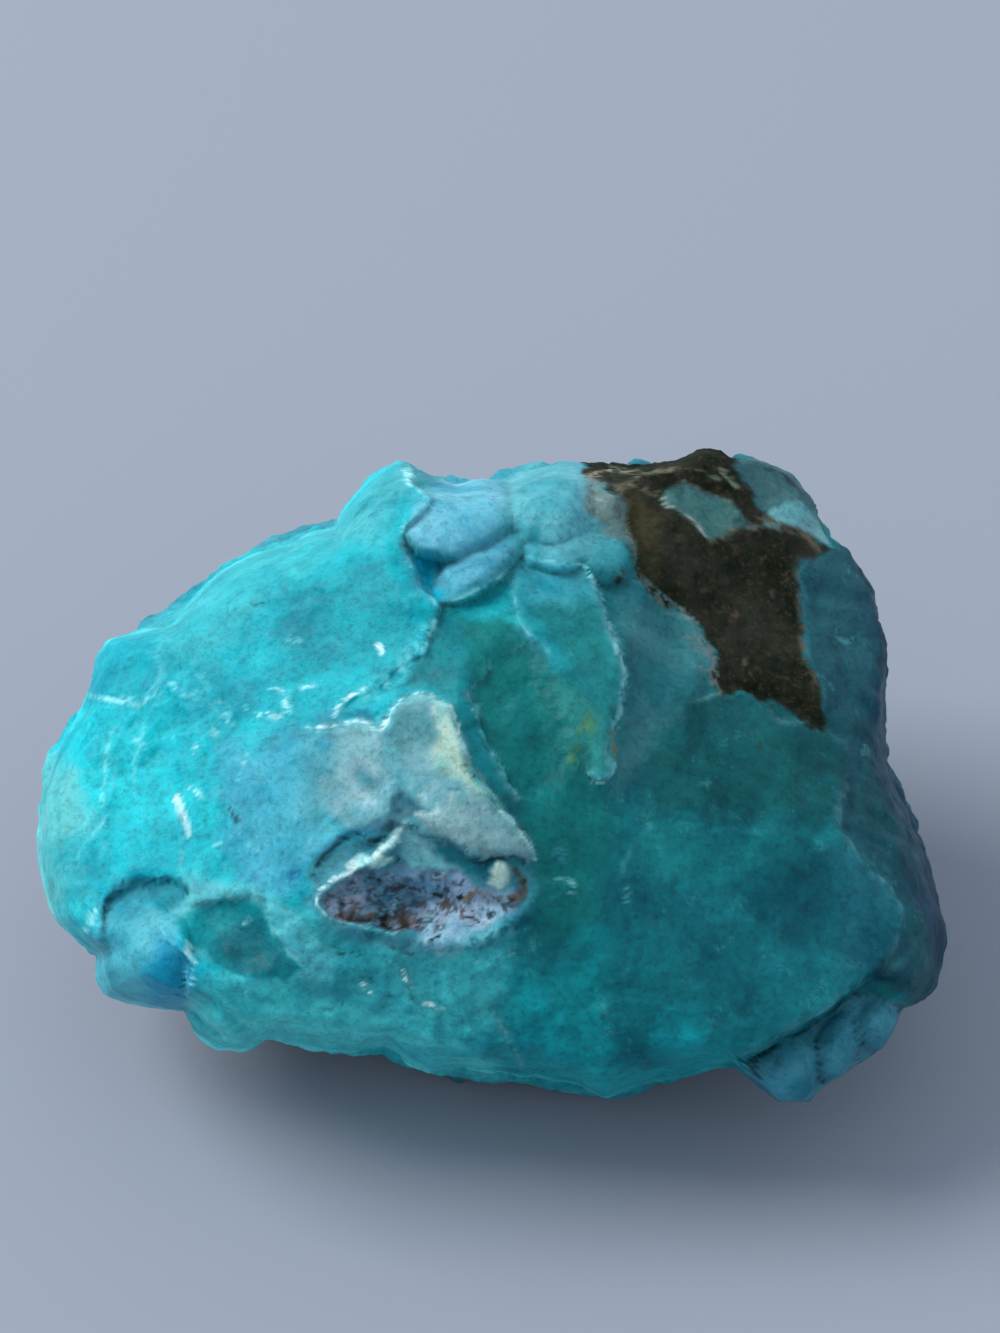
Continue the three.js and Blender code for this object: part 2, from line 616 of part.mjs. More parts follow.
function facetHeight(u, v, w) {
  let total = 0;
  let sum = 0;
  for (const { at, slope } of facets) {
    const du = u - at[0];
    const dv = v - at[1];
    const dw = w - at[2];
    const weight = (du * du + dv * dv + dw * dw + 1) ** -7;
    const height = (du * slope[0] + dv * slope[1] + dw * slope[2]) * FACET_STEEPNESS;
    total += weight;
    sum += weight * clamp(height, -FACET_LIMIT, FACET_LIMIT);
  }
  return sum / total;
}

// Carries a direction on the sphere to its place on the finished stone.
function shapeStone(direction) {
  const c = direction[2];
  let [u, v, w] = baseForm(direction);
  const onBack = smoothstep(0.05, -0.25, c);
  for (const { direction: [du, dv, dw], distance } of BACK_PLANES) {
    const over = Math.max(u * du + v * dv + w * dw - distance, 0) * onBack * 0.9;
    u -= over * du;
    v -= over * dv;
    w -= over * dw;
  }
  const start = [u, v, w];
  const onFace = smoothstep(0.02, 0.3, c);
  if (c > 0) {
    const pulled = pullToLedge(u, v);
    const strength = smoothstep(0.02, 0.12, c);
    u += (pulled[0] - u) * strength;
    v += (pulled[1] - v) * strength;
    w += faceRelief(u, v) * onFace;
  }
  const besideCrust = besideLine(CRUST_LINE, u, v).across;
  const offRim = smoothstep(0, 0.2, c);
  const inBay = smoothstep(-0.5, 1.5, besideCrust) * smoothstep(0, 0.6, insideOval(BAY, u, v)) * offRim;
  w += (standLobes(u, v, w, inBay) - w) * offRim;
  let away = [start[0] * 0.6, start[1], start[2]];
  const length = Math.hypot(...away);
  away = away.map((x) => x / length);

  const side = smoothstep(0, -0.08, c);
  const beyond = smoothstep(0.3, 1.8, besideCrust) * smoothstep(0.8, 0.5, c) * (1 - 0.9 * inBay);
  const crust = beyond * (0.35 + 0.65 * smoothstep(0.2, -0.05, c));
  const patches = smoothstep(-0.3, 0.35, waves(start[0] + 11, start[1], start[2], 16));
  const behind = smoothstep(0, -0.12, c);
  const grown = Math.max(behind * patches, crust);
  const broken = facetHeight(...start) * behind;
  const room = c > 0 ? Infinity : 0.3 + OUTLINE_ROOM * (1 - Math.hypot(direction[0], direction[1]));
  const bumps = Math.min(growthHeight(...start) * grown + broken * (1 - 0.7 * grown), room);
  u += away[0] * bumps * side;
  v += away[1] * bumps * side;
  w += (away[2] * side + (1 - side) * onFace) * bumps;

  const swell = waves(...start, SWELL.length) * SWELL.height;
  const ripple = waves(start[0] + 31, start[1] - 17, start[2] + 5, RIPPLE.length) * RIPPLE.height;
  const rough = (swell + ripple) * smoothstep(0, 0.3, Math.abs(c)) * (1 + 0.8 * smoothstep(0, -0.3, c));
  u += away[0] * rough * 0.3;
  v += away[1] * rough * 0.3;
  w += away[2] * rough;

  w += OUTLINE_LEAN * v;
  const narrowed = 1 - w * NARROWING;
  u = NARROWING_CENTRE[0] + (u - NARROWING_CENTRE[0]) * narrowed;
  v = NARROWING_CENTRE[1] + (v - NARROWING_CENTRE[1]) * narrowed;
  return [u, v, w];
}

// Moves a direction towards the face, so that the face is divided more finely.
function crowd([a, b, c]) {
  const angle = Math.acos(clamp(c, -1, 1));
  const moved = angle - CROWDING * Math.sin(angle);
  const s = Math.hypot(a, b);
  const scale = s > 1e-9 ? Math.sin(moved) / s : 0;
  return [a * scale, b * scale, Math.cos(moved)];
}

function positionsOnly(geometry) {
  geometry.deleteAttribute("normal");
  geometry.deleteAttribute("uv");
  return mergeVertices(geometry);
}

function stoneGeometry() {
  const geometry = positionsOnly(new THREE.IcosahedronGeometry(1, SPHERE_DETAIL));
  const position = geometry.getAttribute("position");
  for (let k = 0; k < position.count; k += 1) {
    const direction = crowd([position.getX(k), position.getY(k), position.getZ(k)]);
    position.setXYZ(k, ...shapeStone(direction));
  }
  geometry.rotateX(Math.PI / 2 - THREE.MathUtils.degToRad(FACE_LOOKS_UP_DEG));
  return geometry;
}

const wasm = await Module();
wasm.setup();

function toSolid(geometry) {
  const mesh = new wasm.Mesh({
    numProp: 3,
    vertProperties: new Float32Array(geometry.getAttribute("position").array),
    triVerts: new Uint32Array(geometry.getIndex().array),
  });
  return new wasm.Manifold(mesh);
}

function toGeometry(solid) {
  const mesh = solid.getMesh();
  const geometry = new THREE.BufferGeometry();
  geometry.setAttribute("position", new THREE.BufferAttribute(mesh.vertProperties, 3));
  geometry.setIndex(new THREE.BufferAttribute(mesh.triVerts, 1));
  return geometry;
}

// Grinds the underside flat, then puts the middle of the ground face's level at the origin.
function setDown(geometry) {
  geometry.computeBoundingBox();
  const low = geometry.boundingBox.min.z + GROUND_DEPTH;
  const block = new THREE.BoxGeometry(200, 200, 100).translate(0, 0, low - 50);
  const ground = toGeometry(toSolid(geometry).subtract(toSolid(positionsOnly(block))));
  ground.computeBoundingBox();
  const centre = ground.boundingBox.getCenter(new THREE.Vector3());
  ground.translate(-centre.x, -centre.y, -low);
  ground.computeVertexNormals();
  return ground;
}

const material = new THREE.MeshStandardMaterial({ color: COLOUR, roughness: 0.42, metalness: 0 });
const specimen = new THREE.Mesh(setDown(stoneGeometry()), material);
specimen.name = "hemimorphite_specimen";

const group = new THREE.Group();
group.add(specimen);

export default group;
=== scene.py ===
import math

import bpy
import numpy as np
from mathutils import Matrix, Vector


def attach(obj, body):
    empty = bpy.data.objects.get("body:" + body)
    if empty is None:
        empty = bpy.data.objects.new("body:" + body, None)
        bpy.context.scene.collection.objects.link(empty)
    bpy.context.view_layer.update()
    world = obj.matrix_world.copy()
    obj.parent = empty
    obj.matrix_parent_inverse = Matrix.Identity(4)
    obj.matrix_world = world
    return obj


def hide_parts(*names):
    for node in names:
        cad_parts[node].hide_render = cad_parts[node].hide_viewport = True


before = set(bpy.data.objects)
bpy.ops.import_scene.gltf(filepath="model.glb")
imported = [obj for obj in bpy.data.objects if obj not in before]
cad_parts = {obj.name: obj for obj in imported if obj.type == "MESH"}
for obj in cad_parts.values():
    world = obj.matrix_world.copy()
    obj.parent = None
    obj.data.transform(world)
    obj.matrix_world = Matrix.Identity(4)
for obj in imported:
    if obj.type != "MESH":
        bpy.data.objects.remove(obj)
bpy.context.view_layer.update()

# The stone is drawn in millimetres on its broken face: u runs to the right along it, v up it and w out
# of it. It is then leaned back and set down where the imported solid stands.

MM = 0.001
FACE_LOOKS_UP_DEG = 42
FACE_DEPTH = 34
BACK_DEPTH = 33
OUTLINE_LEAN = -0.25  # how far w falls for each millimetre up the face
VIEW_DISTANCE = 420  # from the camera to the middle of the face
VIEW_CENTRE = (1.0, 11.35)
VIEW_HEIGHT = 133.3  # what the picture spans from top to bottom, in millimetres, at that distance
NARROWING = 1 / VIEW_DISTANCE  # how much smaller things are drawn for each millimetre nearer the camera
SET_DOWN = (-0.074, 1.435, -24.857)  # what is taken off x, y and z to stand the stone at the origin
LEDGE_EDGE = 0.10  # how soft the step at a ledge is
LEDGE_ROUNDING = 0.16  # square of the distance over which a ledge's fall is rounded off
LEDGE_PULL = 0.75  # how far from a ledge the mesh is drawn towards it
DIG_WIDTH = 1.6  # how far out from a ledge its foot is dug in
GRID = 128  # divisions along each side of the cube that becomes the stone
CROWDING = 0.45  # how much the mesh is crowded towards the broken face

# The stone as seen from the camera, anticlockwise from the right.
OUTLINE = [
    (39.4, 2), (39, 5.8), (39.4, 9.5), (39.5, 12.8), (39, 15.8), (38, 18.5), (36.9, 20.8), (36, 23),
    (34, 24.7), (32.3, 26.9), (31.2, 28.8), (29.5, 30.6), (27, 31.8), (24.3, 32.5), (21.5, 33),
    (18.5, 32), (13.5, 31.2), (10, 31.7), (7, 31.8), (4.8, 30.9), (2, 29.8), (-0.8, 30.2), (-3.5, 29.6),
    (-6.2, 30.6), (-7.8, 31.4), (-9.2, 31.9), (-11.5, 30.5), (-13.3, 28.8), (-14.6, 27), (-15.6, 25.2),
    (-17.5, 24.8), (-20, 23.5), (-23.5, 22.6), (-26, 21.4), (-28, 19.8), (-30, 17.7), (-32, 15.4),
    (-35, 14.7), (-38.3, 14.1), (-39.5, 12.2), (-39.9, 9.6), (-40.6, 7.4), (-41.8, 5.2), (-43.3, 3),
    (-44.3, 0), (-45.1, -3), (-45.3, -6.2), (-44.7, -10), (-43.6, -13.6), (-41.4, -16.2), (-39.1, -17.6),
    (-39.4, -19.6), (-38.6, -21.4), (-36.3, -22.3), (-33.2, -22.8), (-30.3, -23.1), (-29.6, -25.2),
    (-27.2, -26.8), (-24.4, -27), (-22, -25.8), (-18.5, -26.6), (-14, -27.4), (-10.3, -26.5),
    (-8.5, -28.2), (-6.2, -29.2), (-3, -28.7), (1, -29.3), (5, -29.6), (9.3, -30.5), (11.6, -31.8),
    (15, -30.5), (19, -29.6), (22.5, -28.8), (24.8, -28.6), (28.6, -32), (32, -32.1), (33.8, -30.3),
    (37, -28.4), (39.2, -26.8), (40.6, -24.4), (41.3, -22.9), (43.6, -21.9), (44.9, -20.4), (45.3, -17.6),
    (45.6, -14.6), (44.8, -12.2), (43.9, -9.6), (43, -6.6), (42, -4), (40.7, -1.2),
]

# Broad planes that cut the face: the height of each over the middle, and its slope along u and v.
FACE_PLANES = [
    (27.0, 0.42, -0.1),
    (26.5, -0.34, 0.02),
    (28.5, 0.05, 0.52),
    (29.5, -0.05, -0.5),
    (33.0, -0.62, -0.45),
]

# Broad planes that cut the back and the sides: the way each looks and how far out it lies.
BACK_PLANES = [
    {"direction": (0.55, 0.35, -0.76), "distance": 30.5},
    {"direction": (-0.62, 0.3, -0.72), "distance": 31.0},
    {"direction": (0.1, -0.45, -0.89), "distance": 27.5},
    {"direction": (-0.2, 0.78, -0.59), "distance": 28.2},
    {"direction": (0.72, -0.3, -0.63), "distance": 35.5},
    {"direction": (-0.7, -0.4, -0.59), "distance": 35.0},
    {"direction": (0.05, 0.25, -0.97), "distance": 28.5},
    {"direction": (0.4, -0.72, -0.57), "distance": 31.5},
    {"direction": (-0.45, -0.7, -0.55), "distance": 31.0},
    {"direction": (0, -0.743, -0.669), "distance": 27.2},
]


def ledge(reach, dig, rim, *line):
    """A broken edge. Its high side is on the left of the line, whose third number is the height there.

    The height fades over reach and its foot is dug in by dig. The number after dig sets how bright its
    pale rim is, partly the stone's pale edge and partly a painted highlight that lightens the wall's shade.
    """
    return {"reach": reach, "dig": dig, "rim": rim, "line": line}


def ridge(width, *line):
    """A rounded rise of so much width along a line, whose third number is the height there."""
    return {"width": width, "line": line}


# The broken edges of the face, in millimetres like everything here
LEDGES = [
    # upper left sheet
    ledge(9, 0.2, 1, (-15.6, 6.3, 0.2), (-14.6, 7.6, 0.4), (-11.6, 8.8, 0.45), (-10.2, 10, 0.5),
          (-8.4, 11.7, 0.5), (-6.4, 12.9, 0.6), (-6, 14.2, 0.6), (-5.5, 15.4, 0.8), (-5, 17.3, 1.4),
          (-5.9, 18.3, 2), (-7, 19.4, 2.4), (-7.6, 21.4, 2.4), (-8.5, 23.7, 1.9), (-8.3, 25.4, 1.6),
          (-6.2, 27.3, 1.5), (-5.7, 28.4, 1.4), (-7.2, 29.3, 1.3), (-7.6, 30.4, 1.1), (-8, 31.6, 0.8)),
    # pale window
    ledge(8, 0.2, 1, (4.8, -8.2, 0), (4.2, -7, 1), (3.2, -5.4, 1.2), (1.8, -3.6, 1.2), (0.4, -1.8, 1.1),
          (-0.6, -0.2, 1), (-1.6, 1, 1), (-2.2, 2, 1), (-3, 4.6, 1.1), (-3.2, 5.8, 1.2), (-4, 7.2, 1.2),
          (-5.4, 8, 1.1), (-7.4, 8.4, 1.1), (-9, 7.9, 1.1), (-9.8, 6.8, 1.1), (-10.2, 5.8, 1),
          (-11, 5, 1), (-12.2, 5.3, 0.9), (-13.4, 5.8, 0.8), (-15, 5.4, 0.7), (-16.8, 5, 0.5),
          (-18.8, 5.3, 0)),
    # lip over the hollow
    ledge(5, 0.5, 0.2, (-18.4, -9.6, 0.2), (-17.6, -8.4, 0.5), (-16.4, -7.2, 0.7), (-14.9, -5.9, 0.8),
          (-13.3, -5.3, 0.8), (-12.3, -5.9, 0.9), (-10.7, -5.7, 1), (-10, -4.9, 1.1), (-9.4, -4.2, 1.1),
          (-8.2, -4.5, 1.1), (-6.2, -5.6, 1.2), (-4.6, -6.2, 1.2), (-2.8, -6.7, 1.3), (-2.2, -7.7, 1.3),
          (-1.2, -7.8, 1.3), (0.5, -7.3, 1.3), (2.3, -7.4, 1.1), (3.6, -7.9, 0.6), (5, -8.4, 0)),
    # thin teal strip
    ledge(4, 0.2, 0.8, (3.4, -2.8, 0), (2.4, -0.8, 0.5), (1.4, 1, 0.7), (0, 3, 0.8), (-0.8, 5.2, 0.8),
          (-1.4, 6.7, 0.8), (-2.2, 7.9, 0.8), (-1.6, 9, 0.6), (-0.2, 11, 0.3), (-0.4, 12.8, 0)),
    # thin shell
    ledge(7, 0.3, 1, (9.2, 0.9, 0), (10, 0.3, 0.6), (10.8, 0, 0.9), (11.8, 0.4, 1.1), (12.6, 1.2, 1.3),
          (12.2, 2.6, 1.6), (12.1, 3.8, 1.8), (12.5, 5.5, 2), (12.8, 7.2, 2.1), (13.6, 9.2, 2.2),
          (13.6, 11.3, 2.2), (12.9, 12.8, 2.2), (12.1, 14.6, 2.1), (11.4, 16.9, 1.9), (10.6, 19.5, 1.4),
          (9.6, 21.2, 0.8), (6.8, 21.8, 0.45), (4.6, 22.4, 0.4), (2.9, 22, 0.4), (1.9, 21.1, 0.4),
          (0, 19.9, 0.4), (-2.2, 18.8, 0.4), (-4.7, 17.4, 0.3)),
    # inner shell
    ledge(4, 0.2, 0.8, (2.3, 21, 0.2), (2.3, 17.5, 0.4), (3, 15.9, 0.4), (4, 14.4, 0.4), (5.2, 13.2, 0.3),
          (6.4, 12, 0)),
    # rind on the left of the brown patch
    ledge(5, 0.4, 0.2, (23.4, 8.4, 0.3), (22.4, 10, 0.7), (22.2, 12, 0.8), (21.5, 14, 0.9), (20, 16, 0.9),
          (17.8, 17, 0.9), (16.4, 18.7, 0.8), (15, 19.9, 0.8), (14.7, 21.5, 0.8), (14.5, 23.5, 0.8),
          (13.8, 24.8, 0.8), (12.6, 26.2, 0.7), (12.6, 28.4, 0.5), (11.6, 30.6, 0.2)),
    # rind on the right of the brown patch
    ledge(5, 0.4, 0.1, (34.6, 22.8, 0.1), (32.4, 22.3, 0.3), (31.2, 21.5, 0.4), (30.9, 19.8, 0.4),
          (31.3, 18, 0.4), (31.2, 16.5, 0.4), (31.5, 14, 0.4), (31.9, 12, 0.35), (32.5, 10.3, 0.35),
          (33.3, 8.5, 0.3), (34.4, 6.2, 0.2)),
    # top of the big face
    ledge(7, 0.6, 0.25, (35.5, 3.6, 0.2), (33.6, 5, 0.6), (31.5, 5.8, 0.8), (29.3, 6.3, 0.9),
          (28, 7.2, 1), (27, 8.2, 1), (26, 9.2, 1), (24.5, 9.2, 1), (23.2, 8.7, 0.8), (21.5, 8.4, 0.5),
          (19.8, 7.9, 0.2)),
    # right edge of the big face
    ledge(9, 0.3, 0.45, (24.5, -28, 0.1), (26.2, -27.3, 0.3), (27.4, -26.7, 0.5), (28.8, -25.7, 0.6),
          (30.3, -24.8, 0.7), (33.2, -23.2, 0.7), (34.6, -21.9, 0.6), (36, -20.9, 0.4),
          (37.6, -19.9, 0.25), (39.4, -18.6, 0.25), (40.4, -17.4, 0.4), (40.9, -15.3, 0.6),
          (41.15, -12.8, 0.8), (40, -10.6, 0.9), (38.2, -8.8, 1), (36, -5.9, 1.1), (35, -4.7, 1.1),
          (34.9, -3.2, 0.8), (35.8, -1.2, 0.4), (36.5, 1, 0)),
    # corner lobe
    ledge(4, 0.2, 0.1, (35.4, -21.2, 0.3), (38.2, -21.7, 0.6), (40, -22.4, 0.7), (41.4, -22.8, 0.7),
          (43, -22.4, 0.4)),
    # lower edge of the left sheet
    ledge(8, 0.5, 0.4, (-40.2, -18.6, 0.5), (-38.9, -16.6, 1.2), (-38.7, -14.5, 1.5), (-38.4, -12.4, 1.6),
          (-37, -11, 1.7), (-35.5, -10.1, 1.7), (-34.2, -9.9, 1.6), (-31.5, -9.9, 1.5),
          (-30.6, -10.6, 1.4), (-30.2, -12.2, 1.1), (-28.5, -12.1, 1), (-26.5, -11.6, 1), (-24, -11.4, 1),
          (-22.6, -12.2, 1), (-22, -14, 0.9), (-20.8, -16, 0.7), (-19.2, -18, 0.3), (-18, -20, 0)),
    # left foot
    ledge(5, 0.4, 0.8, (-33.6, -13.8, 0), (-32.5, -15.5, 0.7), (-31.5, -17, 1.2), (-30.4, -17.8, 1.4),
          (-29.9, -18.6, 1.4), (-30.1, -20.2, 1.3), (-30.2, -22, 1.2), (-30.4, -24, 0.8)),
    # bright slash
    ledge(5, 0.1, 1, (-30.4, -11, 0.1), (-30.7, -8.4, 0.25), (-30.4, -6.2, 0.3), (-30.3, -5.3, 0.4),
          (-30.9, -3.6, 0.5), (-31.3, -2.4, 0.4), (-31.7, -1.2, 0.2), (-32.4, 0.2, 0)),
    # band down the left side
    ledge(6, 0, 0.5, (-39.6, -10.5, 0), (-38.9, -7, 0.15), (-38.3, -4, 0.3), (-37.6, -1, 0.35),
          (-37.5, 1.6, 0.35), (-36.9, 3.6, 0.25), (-35.2, 6.2, 0.1), (-34, 8, 0)),
    # cup at the left corner
    ledge(3, 0.2, 1, (-32.4, 14.4, 0.2), (-33.5, 12.8, 0.3), (-33.1, 11, 0.4), (-33.7, 9.2, 0.4),
          (-35, 8.3, 0.4), (-36.6, 7.8, 0.4), (-38.9, 8.1, 0.4), (-40.6, 9.4, 0.2)),
    # low crack
    ledge(4, 0.2, 0.6, (-6.2, -24.2, 0), (-7, -22.8, 0.4), (-7.7, -21.2, 0.5), (-8.1, -19.4, 0.3),
          (-8.4, -17.4, 0.1)),
    # low facet
    ledge(6, 0, 0.6, (3.4, -29.6, 0.3), (2.6, -27, 0.5), (1.4, -25.2, 0.5), (0.6, -23.4, 0.4),
          (-0.8, -21.8, 0.2), (-3, -21.4, 0)),
    # step on the big face
    ledge(5, 0.2, 0.1, (33.6, -6, 0.1), (31, -5, 0.2), (27, -4.9, 0.25), (22, -5, 0.25), (19, -4.2, 0.2),
          (17, -4.3, 0.15), (15, -5.6, 0)),
    # slip beside the step
    ledge(4, 0.2, 0.2, (15.6, -5.2, 0), (14.2, -6.6, 0.2), (13.2, -8.4, 0.3), (13.4, -10, 0.25),
          (13.8, -11.6, 0)),
    # tongue beside the hollow
    ledge(3, 0.1, 0.3, (3.8, -12.6, 0), (6.6, -12.2, 0.15), (8.2, -11.2, 0.3), (8.4, -10.2, 0.35),
          (6.6, -10.1, 0.3), (5, -9.6, 0.1)),
]

# Rounded growths on the face.
DOMES = [
    {"centre": (-3.0, 26.2), "half": (5.9, 4.6), "turn": 15, "rise": 5.2},
    {"centre": (-0.9, 21.4), "half": (5.8, 2.4), "turn": 38, "rise": 3.2},
    {"centre": (-1.0, 29.6), "half": (2.4, 1.2), "turn": 0, "rise": 1.6},
    {"centre": (-6.0, 30.0), "half": (2.6, 1.5), "turn": -10, "rise": 1.4},
    {"centre": (6.0, 27.4), "half": (4.6, 4.8), "turn": 0, "rise": 3.8},
    {"centre": (7.0, 23.6), "half": (4.2, 2.8), "turn": 0, "rise": 2.2},
    {"centre": (12.0, 22.6), "half": (3.2, 3.2), "turn": 0, "rise": 1.8},
    {"centre": (11.6, 26.8), "half": (2.8, 2.6), "turn": 0, "rise": 1.4},
    {"centre": (30.3, 26.8), "half": (2.6, 1.6), "turn": -10, "rise": 1.0},
    {"centre": (0.7, -9.3), "half": (1.4, 1.3), "turn": 0, "rise": 1.2},
    {"centre": (-35.0, -17.6), "half": (5.2, 5.4), "turn": 0, "rise": 1.8},
]

# The bay below the big face and the rounded lobes that stand in it.
# level and foot are heights over the plane of the outline, and a lobe rises so far above its foot.
BAY = {"centre": (34.5, -26.7), "half": (11.0, 6.5), "turn": 28, "level": 10.2}
LOBES = [
    {"centre": (29.9, -28.5), "half": (3.2, 3.9), "turn": 0, "foot": 9.2, "rise": 3.8},
    {"centre": (34.7, -26.5), "half": (2.3, 3.8), "turn": -20, "foot": 8.8, "rise": 3.4},
    {"centre": (38.6, -24.2), "half": (2.4, 3.0), "turn": 10, "foot": 8.0, "rise": 3.4},
]

# Shallow hollows in the face.
HOLLOWS = [
    {"centre": (-1.5, 22.5), "half": (9.0, 7.5), "turn": 0, "depth": 1.4},
    {"centre": (-5.6, 20.2), "half": (1.6, 2.6), "turn": 20, "depth": 1.3},
    {"centre": (2.6, 5.4), "half": (6.0, 9.5), "turn": 12, "depth": 1.8},
    {"centre": (16.2, 9.0), "half": (4.4, 11.5), "turn": -10, "depth": 1.2},
    {"centre": (25.0, 15.5), "half": (9.5, 12.5), "turn": 20, "depth": 1.0},
    {"centre": (21.4, 27.0), "half": (4.6, 2.2), "turn": -35, "depth": 0.6},
    {"centre": (-6.8, -10.2), "half": (12.0, 6.2), "turn": -6, "depth": 1.9},
    {"centre": (-9.0, -12.2), "half": (8.4, 2.8), "turn": -2, "depth": 1.0},
    {"centre": (-8.5, -2.6), "half": (1.8, 1.8), "turn": 0, "depth": 0.7},
    {"centre": (-36.2, 10.6), "half": (2.8, 2.4), "turn": 0, "depth": 0.5},
    {"centre": (-25.5, -15.8), "half": (5.0, 4.4), "turn": -20, "depth": 1.2},
    {"centre": (31.8, -12.4), "half": (5.6, 7.0), "turn": 0, "depth": 0.7},
]

# Rounded rises on the face.
RIDGES = [
    # white rim in the hollow
    ridge(0.7, (-17.1, -12.4, 0.4), (-16.6, -11.2, 0.6), (-15.6, -10.1, 0.7), (-13.6, -9, 0.8),
          (-12, -8, 1), (-10.3, -7, 1.1), (-9.5, -5.9, 1.1), (-9.1, -4.8, 0.6)),
    # lower rim of the hollow
    ridge(0.9, (-17, -12.6, 0.3), (-15.6, -14.1, 0.6), (-12.2, -14.8, 0.7), (-8, -15.6, 0.7),
          (-5, -16.6, 0.5), (-1, -16.2, 0.5), (1.6, -14.2, 0.6), (3.6, -12.6, 0.5), (4.4, -10.8, 0.4)),
    # rib across the brown patch
    ridge(1.3, (15.5, 30.6, 0.5), (18, 31, 0.8), (21.2, 30.8, 0.9), (23.4, 29.4, 1), (25.2, 27.6, 1),
          (27.2, 25.8, 0.9), (30.2, 25, 0.8), (33.4, 23.2, 0.5)),
    # low ridge along the front
    ridge(2, (-28, -20.6, 0.2), (-24, -20.2, 0.5), (-19, -19.6, 0.6), (-14, -18.8, 0.6),
          (-10, -18.2, 0.4)),
]

# Where the blue-grey crust begins, down the right side.
CRUST_EDGE = [
    (31.5, 30), (31.2, 21.5), (31.3, 17), (32, 11.5), (33.5, 7.5), (35, 3), (35.2, -4.5), (38, -8),
    (41, -12), (41.2, -16), (38.5, -19), (36, -21.6), (31, -25.2), (27, -27.4), (24, -29.5),
]

# Lumps of crust and broken planes, spread from the back (-1) to the last place named, where 1 is the face.
CRUST_GROWTHS = {"count": 190, "first": -1, "last": 0.45, "radius": (2.6, 7.0), "key": 0}
BROKEN_FACETS = {"count": 46, "first": -1, "last": 0.25, "radius": (1, 1), "key": 2000}
FACET_STEEPNESS = 0.75
FACET_LIMIT = 3
EVERYWHERE = 200  # a reach that takes in the whole stone
OUTLINE_ROOM = 45  # how fast lumps may rise away from the outline, so that it stays as drawn
GOLDEN_ANGLE = 2.399963  # radians from one scattered place to the next


# Shaping functions and noise

def smoothstep(start, end, x):
    t = np.clip((x - start) / (end - start), 0, 1)
    return t * t * (3 - 2 * t)


def scatter(key):
    """A fixed random number from 0 to 1 for each key."""
    x = math.sin(key * 12.9898) * 43758.5453
    return x - math.floor(x)


def soft_min(a, b, blend):
    """The smaller of two heights, with the corner between them rounded over blend."""
    h = np.clip(0.5 + 0.5 * (b - a) / blend, 0, 1)
    return b + (a - b) * h - blend * h * (1 - h)


def waves(u, v, w, length):
    """Long crossed waves, about -1 to 1."""
    x, y, z = u / length, v / length, w / length
    one = np.sin(1.7 * x + 0.9 * y + 1.3) * np.sin(1.1 * y - 1.9 * z + 0.4)
    two = np.sin(2.3 * z + 0.8 * x + 2.1) * np.cos(1.9 * x - 1.3 * y + 0.7)
    three = np.cos(1.3 * y + 2.1 * z + 0.3) * np.sin(2.7 * x + 0.6 * z + 1.9)
    return (one + two + three) / 1.8


def lattice(i, j, k, key):
    """A fixed random number from 0 to 1 for each whole-numbered place."""
    n = (i * 374761393 + j * 668265263 + k * 2147483647 + key * 1442695041).astype(np.int64) & 0xFFFFFFFF
    n = ((n ^ (n >> 13)) * 1274126177) & 0xFFFFFFFF
    n = ((n ^ (n >> 16)) * 2246822519) & 0xFFFFFFFF
    return ((n ^ (n >> 15)) & 0xFFFFFF) / float(0xFFFFFF)


def smooth_noise(points, size, key):
    """Soft noise from -1 to 1, with lumps about as big as size."""
    p = points / size
    low = np.floor(p).astype(np.int64)
    t = p - low
    t = t * t * t * (t * (t * 6 - 15) + 10)
    total = np.zeros(len(points))
    for i in (0, 1):
        for j in (0, 1):
            for k in (0, 1):
                weight = (t[:, 0] if i else 1 - t[:, 0]) * (t[:, 1] if j else 1 - t[:, 1])
                weight = weight * (t[:, 2] if k else 1 - t[:, 2])
                total += weight * lattice(low[:, 0] + i, low[:, 1] + j, low[:, 2] + k, key)
    return total * 2 - 1


def rough_noise(points, size, key, octaves=4, gain=0.5):
    """Soft noise with finer noise on it, each octave half the size and gain times the height."""
    total = np.zeros(len(points))
    height = 1.0
    turn = np.array(((0.0, 0.8, 0.6), (-0.8, 0.36, -0.48), (-0.6, -0.48, 0.64)))
    for octave in range(octaves):
        total += height * smooth_noise(points, size, key + octave)
        points = points @ turn.T + 3.7
        size *= 0.5
        height *= gain
    return total


def seeds_near(points, size, key):
    """The scattered seeds around each point: the way from seed to point, in sizes, and the seed's cell."""
    p = points / size
    home = np.floor(p).astype(np.int64)
    for i in (-1, 0, 1):
        for j in (-1, 0, 1):
            for k in (-1, 0, 1):
                cell = (home[:, 0] + i, home[:, 1] + j, home[:, 2] + k)
                seed = np.stack([corner + lattice(*cell, key + m) for m, corner in enumerate(cell)], 1)
                yield p - seed, cell


def cells(points, size, key):
    """Distance from each point to the nearest scattered seed, in sizes, and that seed's random number."""
    nearest = np.full(len(points), 9.0)
    chance = np.zeros(len(points))
    for offset, cell in seeds_near(points, size, key):
        distance = (offset ** 2).sum(1)
        closer = distance < nearest
        nearest = np.where(closer, distance, nearest)
        chance = np.where(closer, lattice(*cell, key + 3), chance)
    return np.sqrt(nearest), chance


def facets(points, size, key):
    """Height of small tilted planes that meet in soft edges, about -1 to 1."""
    total = np.zeros(len(points))
    summed = np.zeros(len(points))
    for offset, cell in seeds_near(points, size, key):
        slope = np.stack([lattice(*cell, key + m) - 0.5 for m in (3, 4, 5)], 1)
        weight = ((offset ** 2).sum(1) + 0.004) ** -6.0
        total += weight
        summed += weight * (offset * slope).sum(1) * 2.5
    return summed / total


# The lump

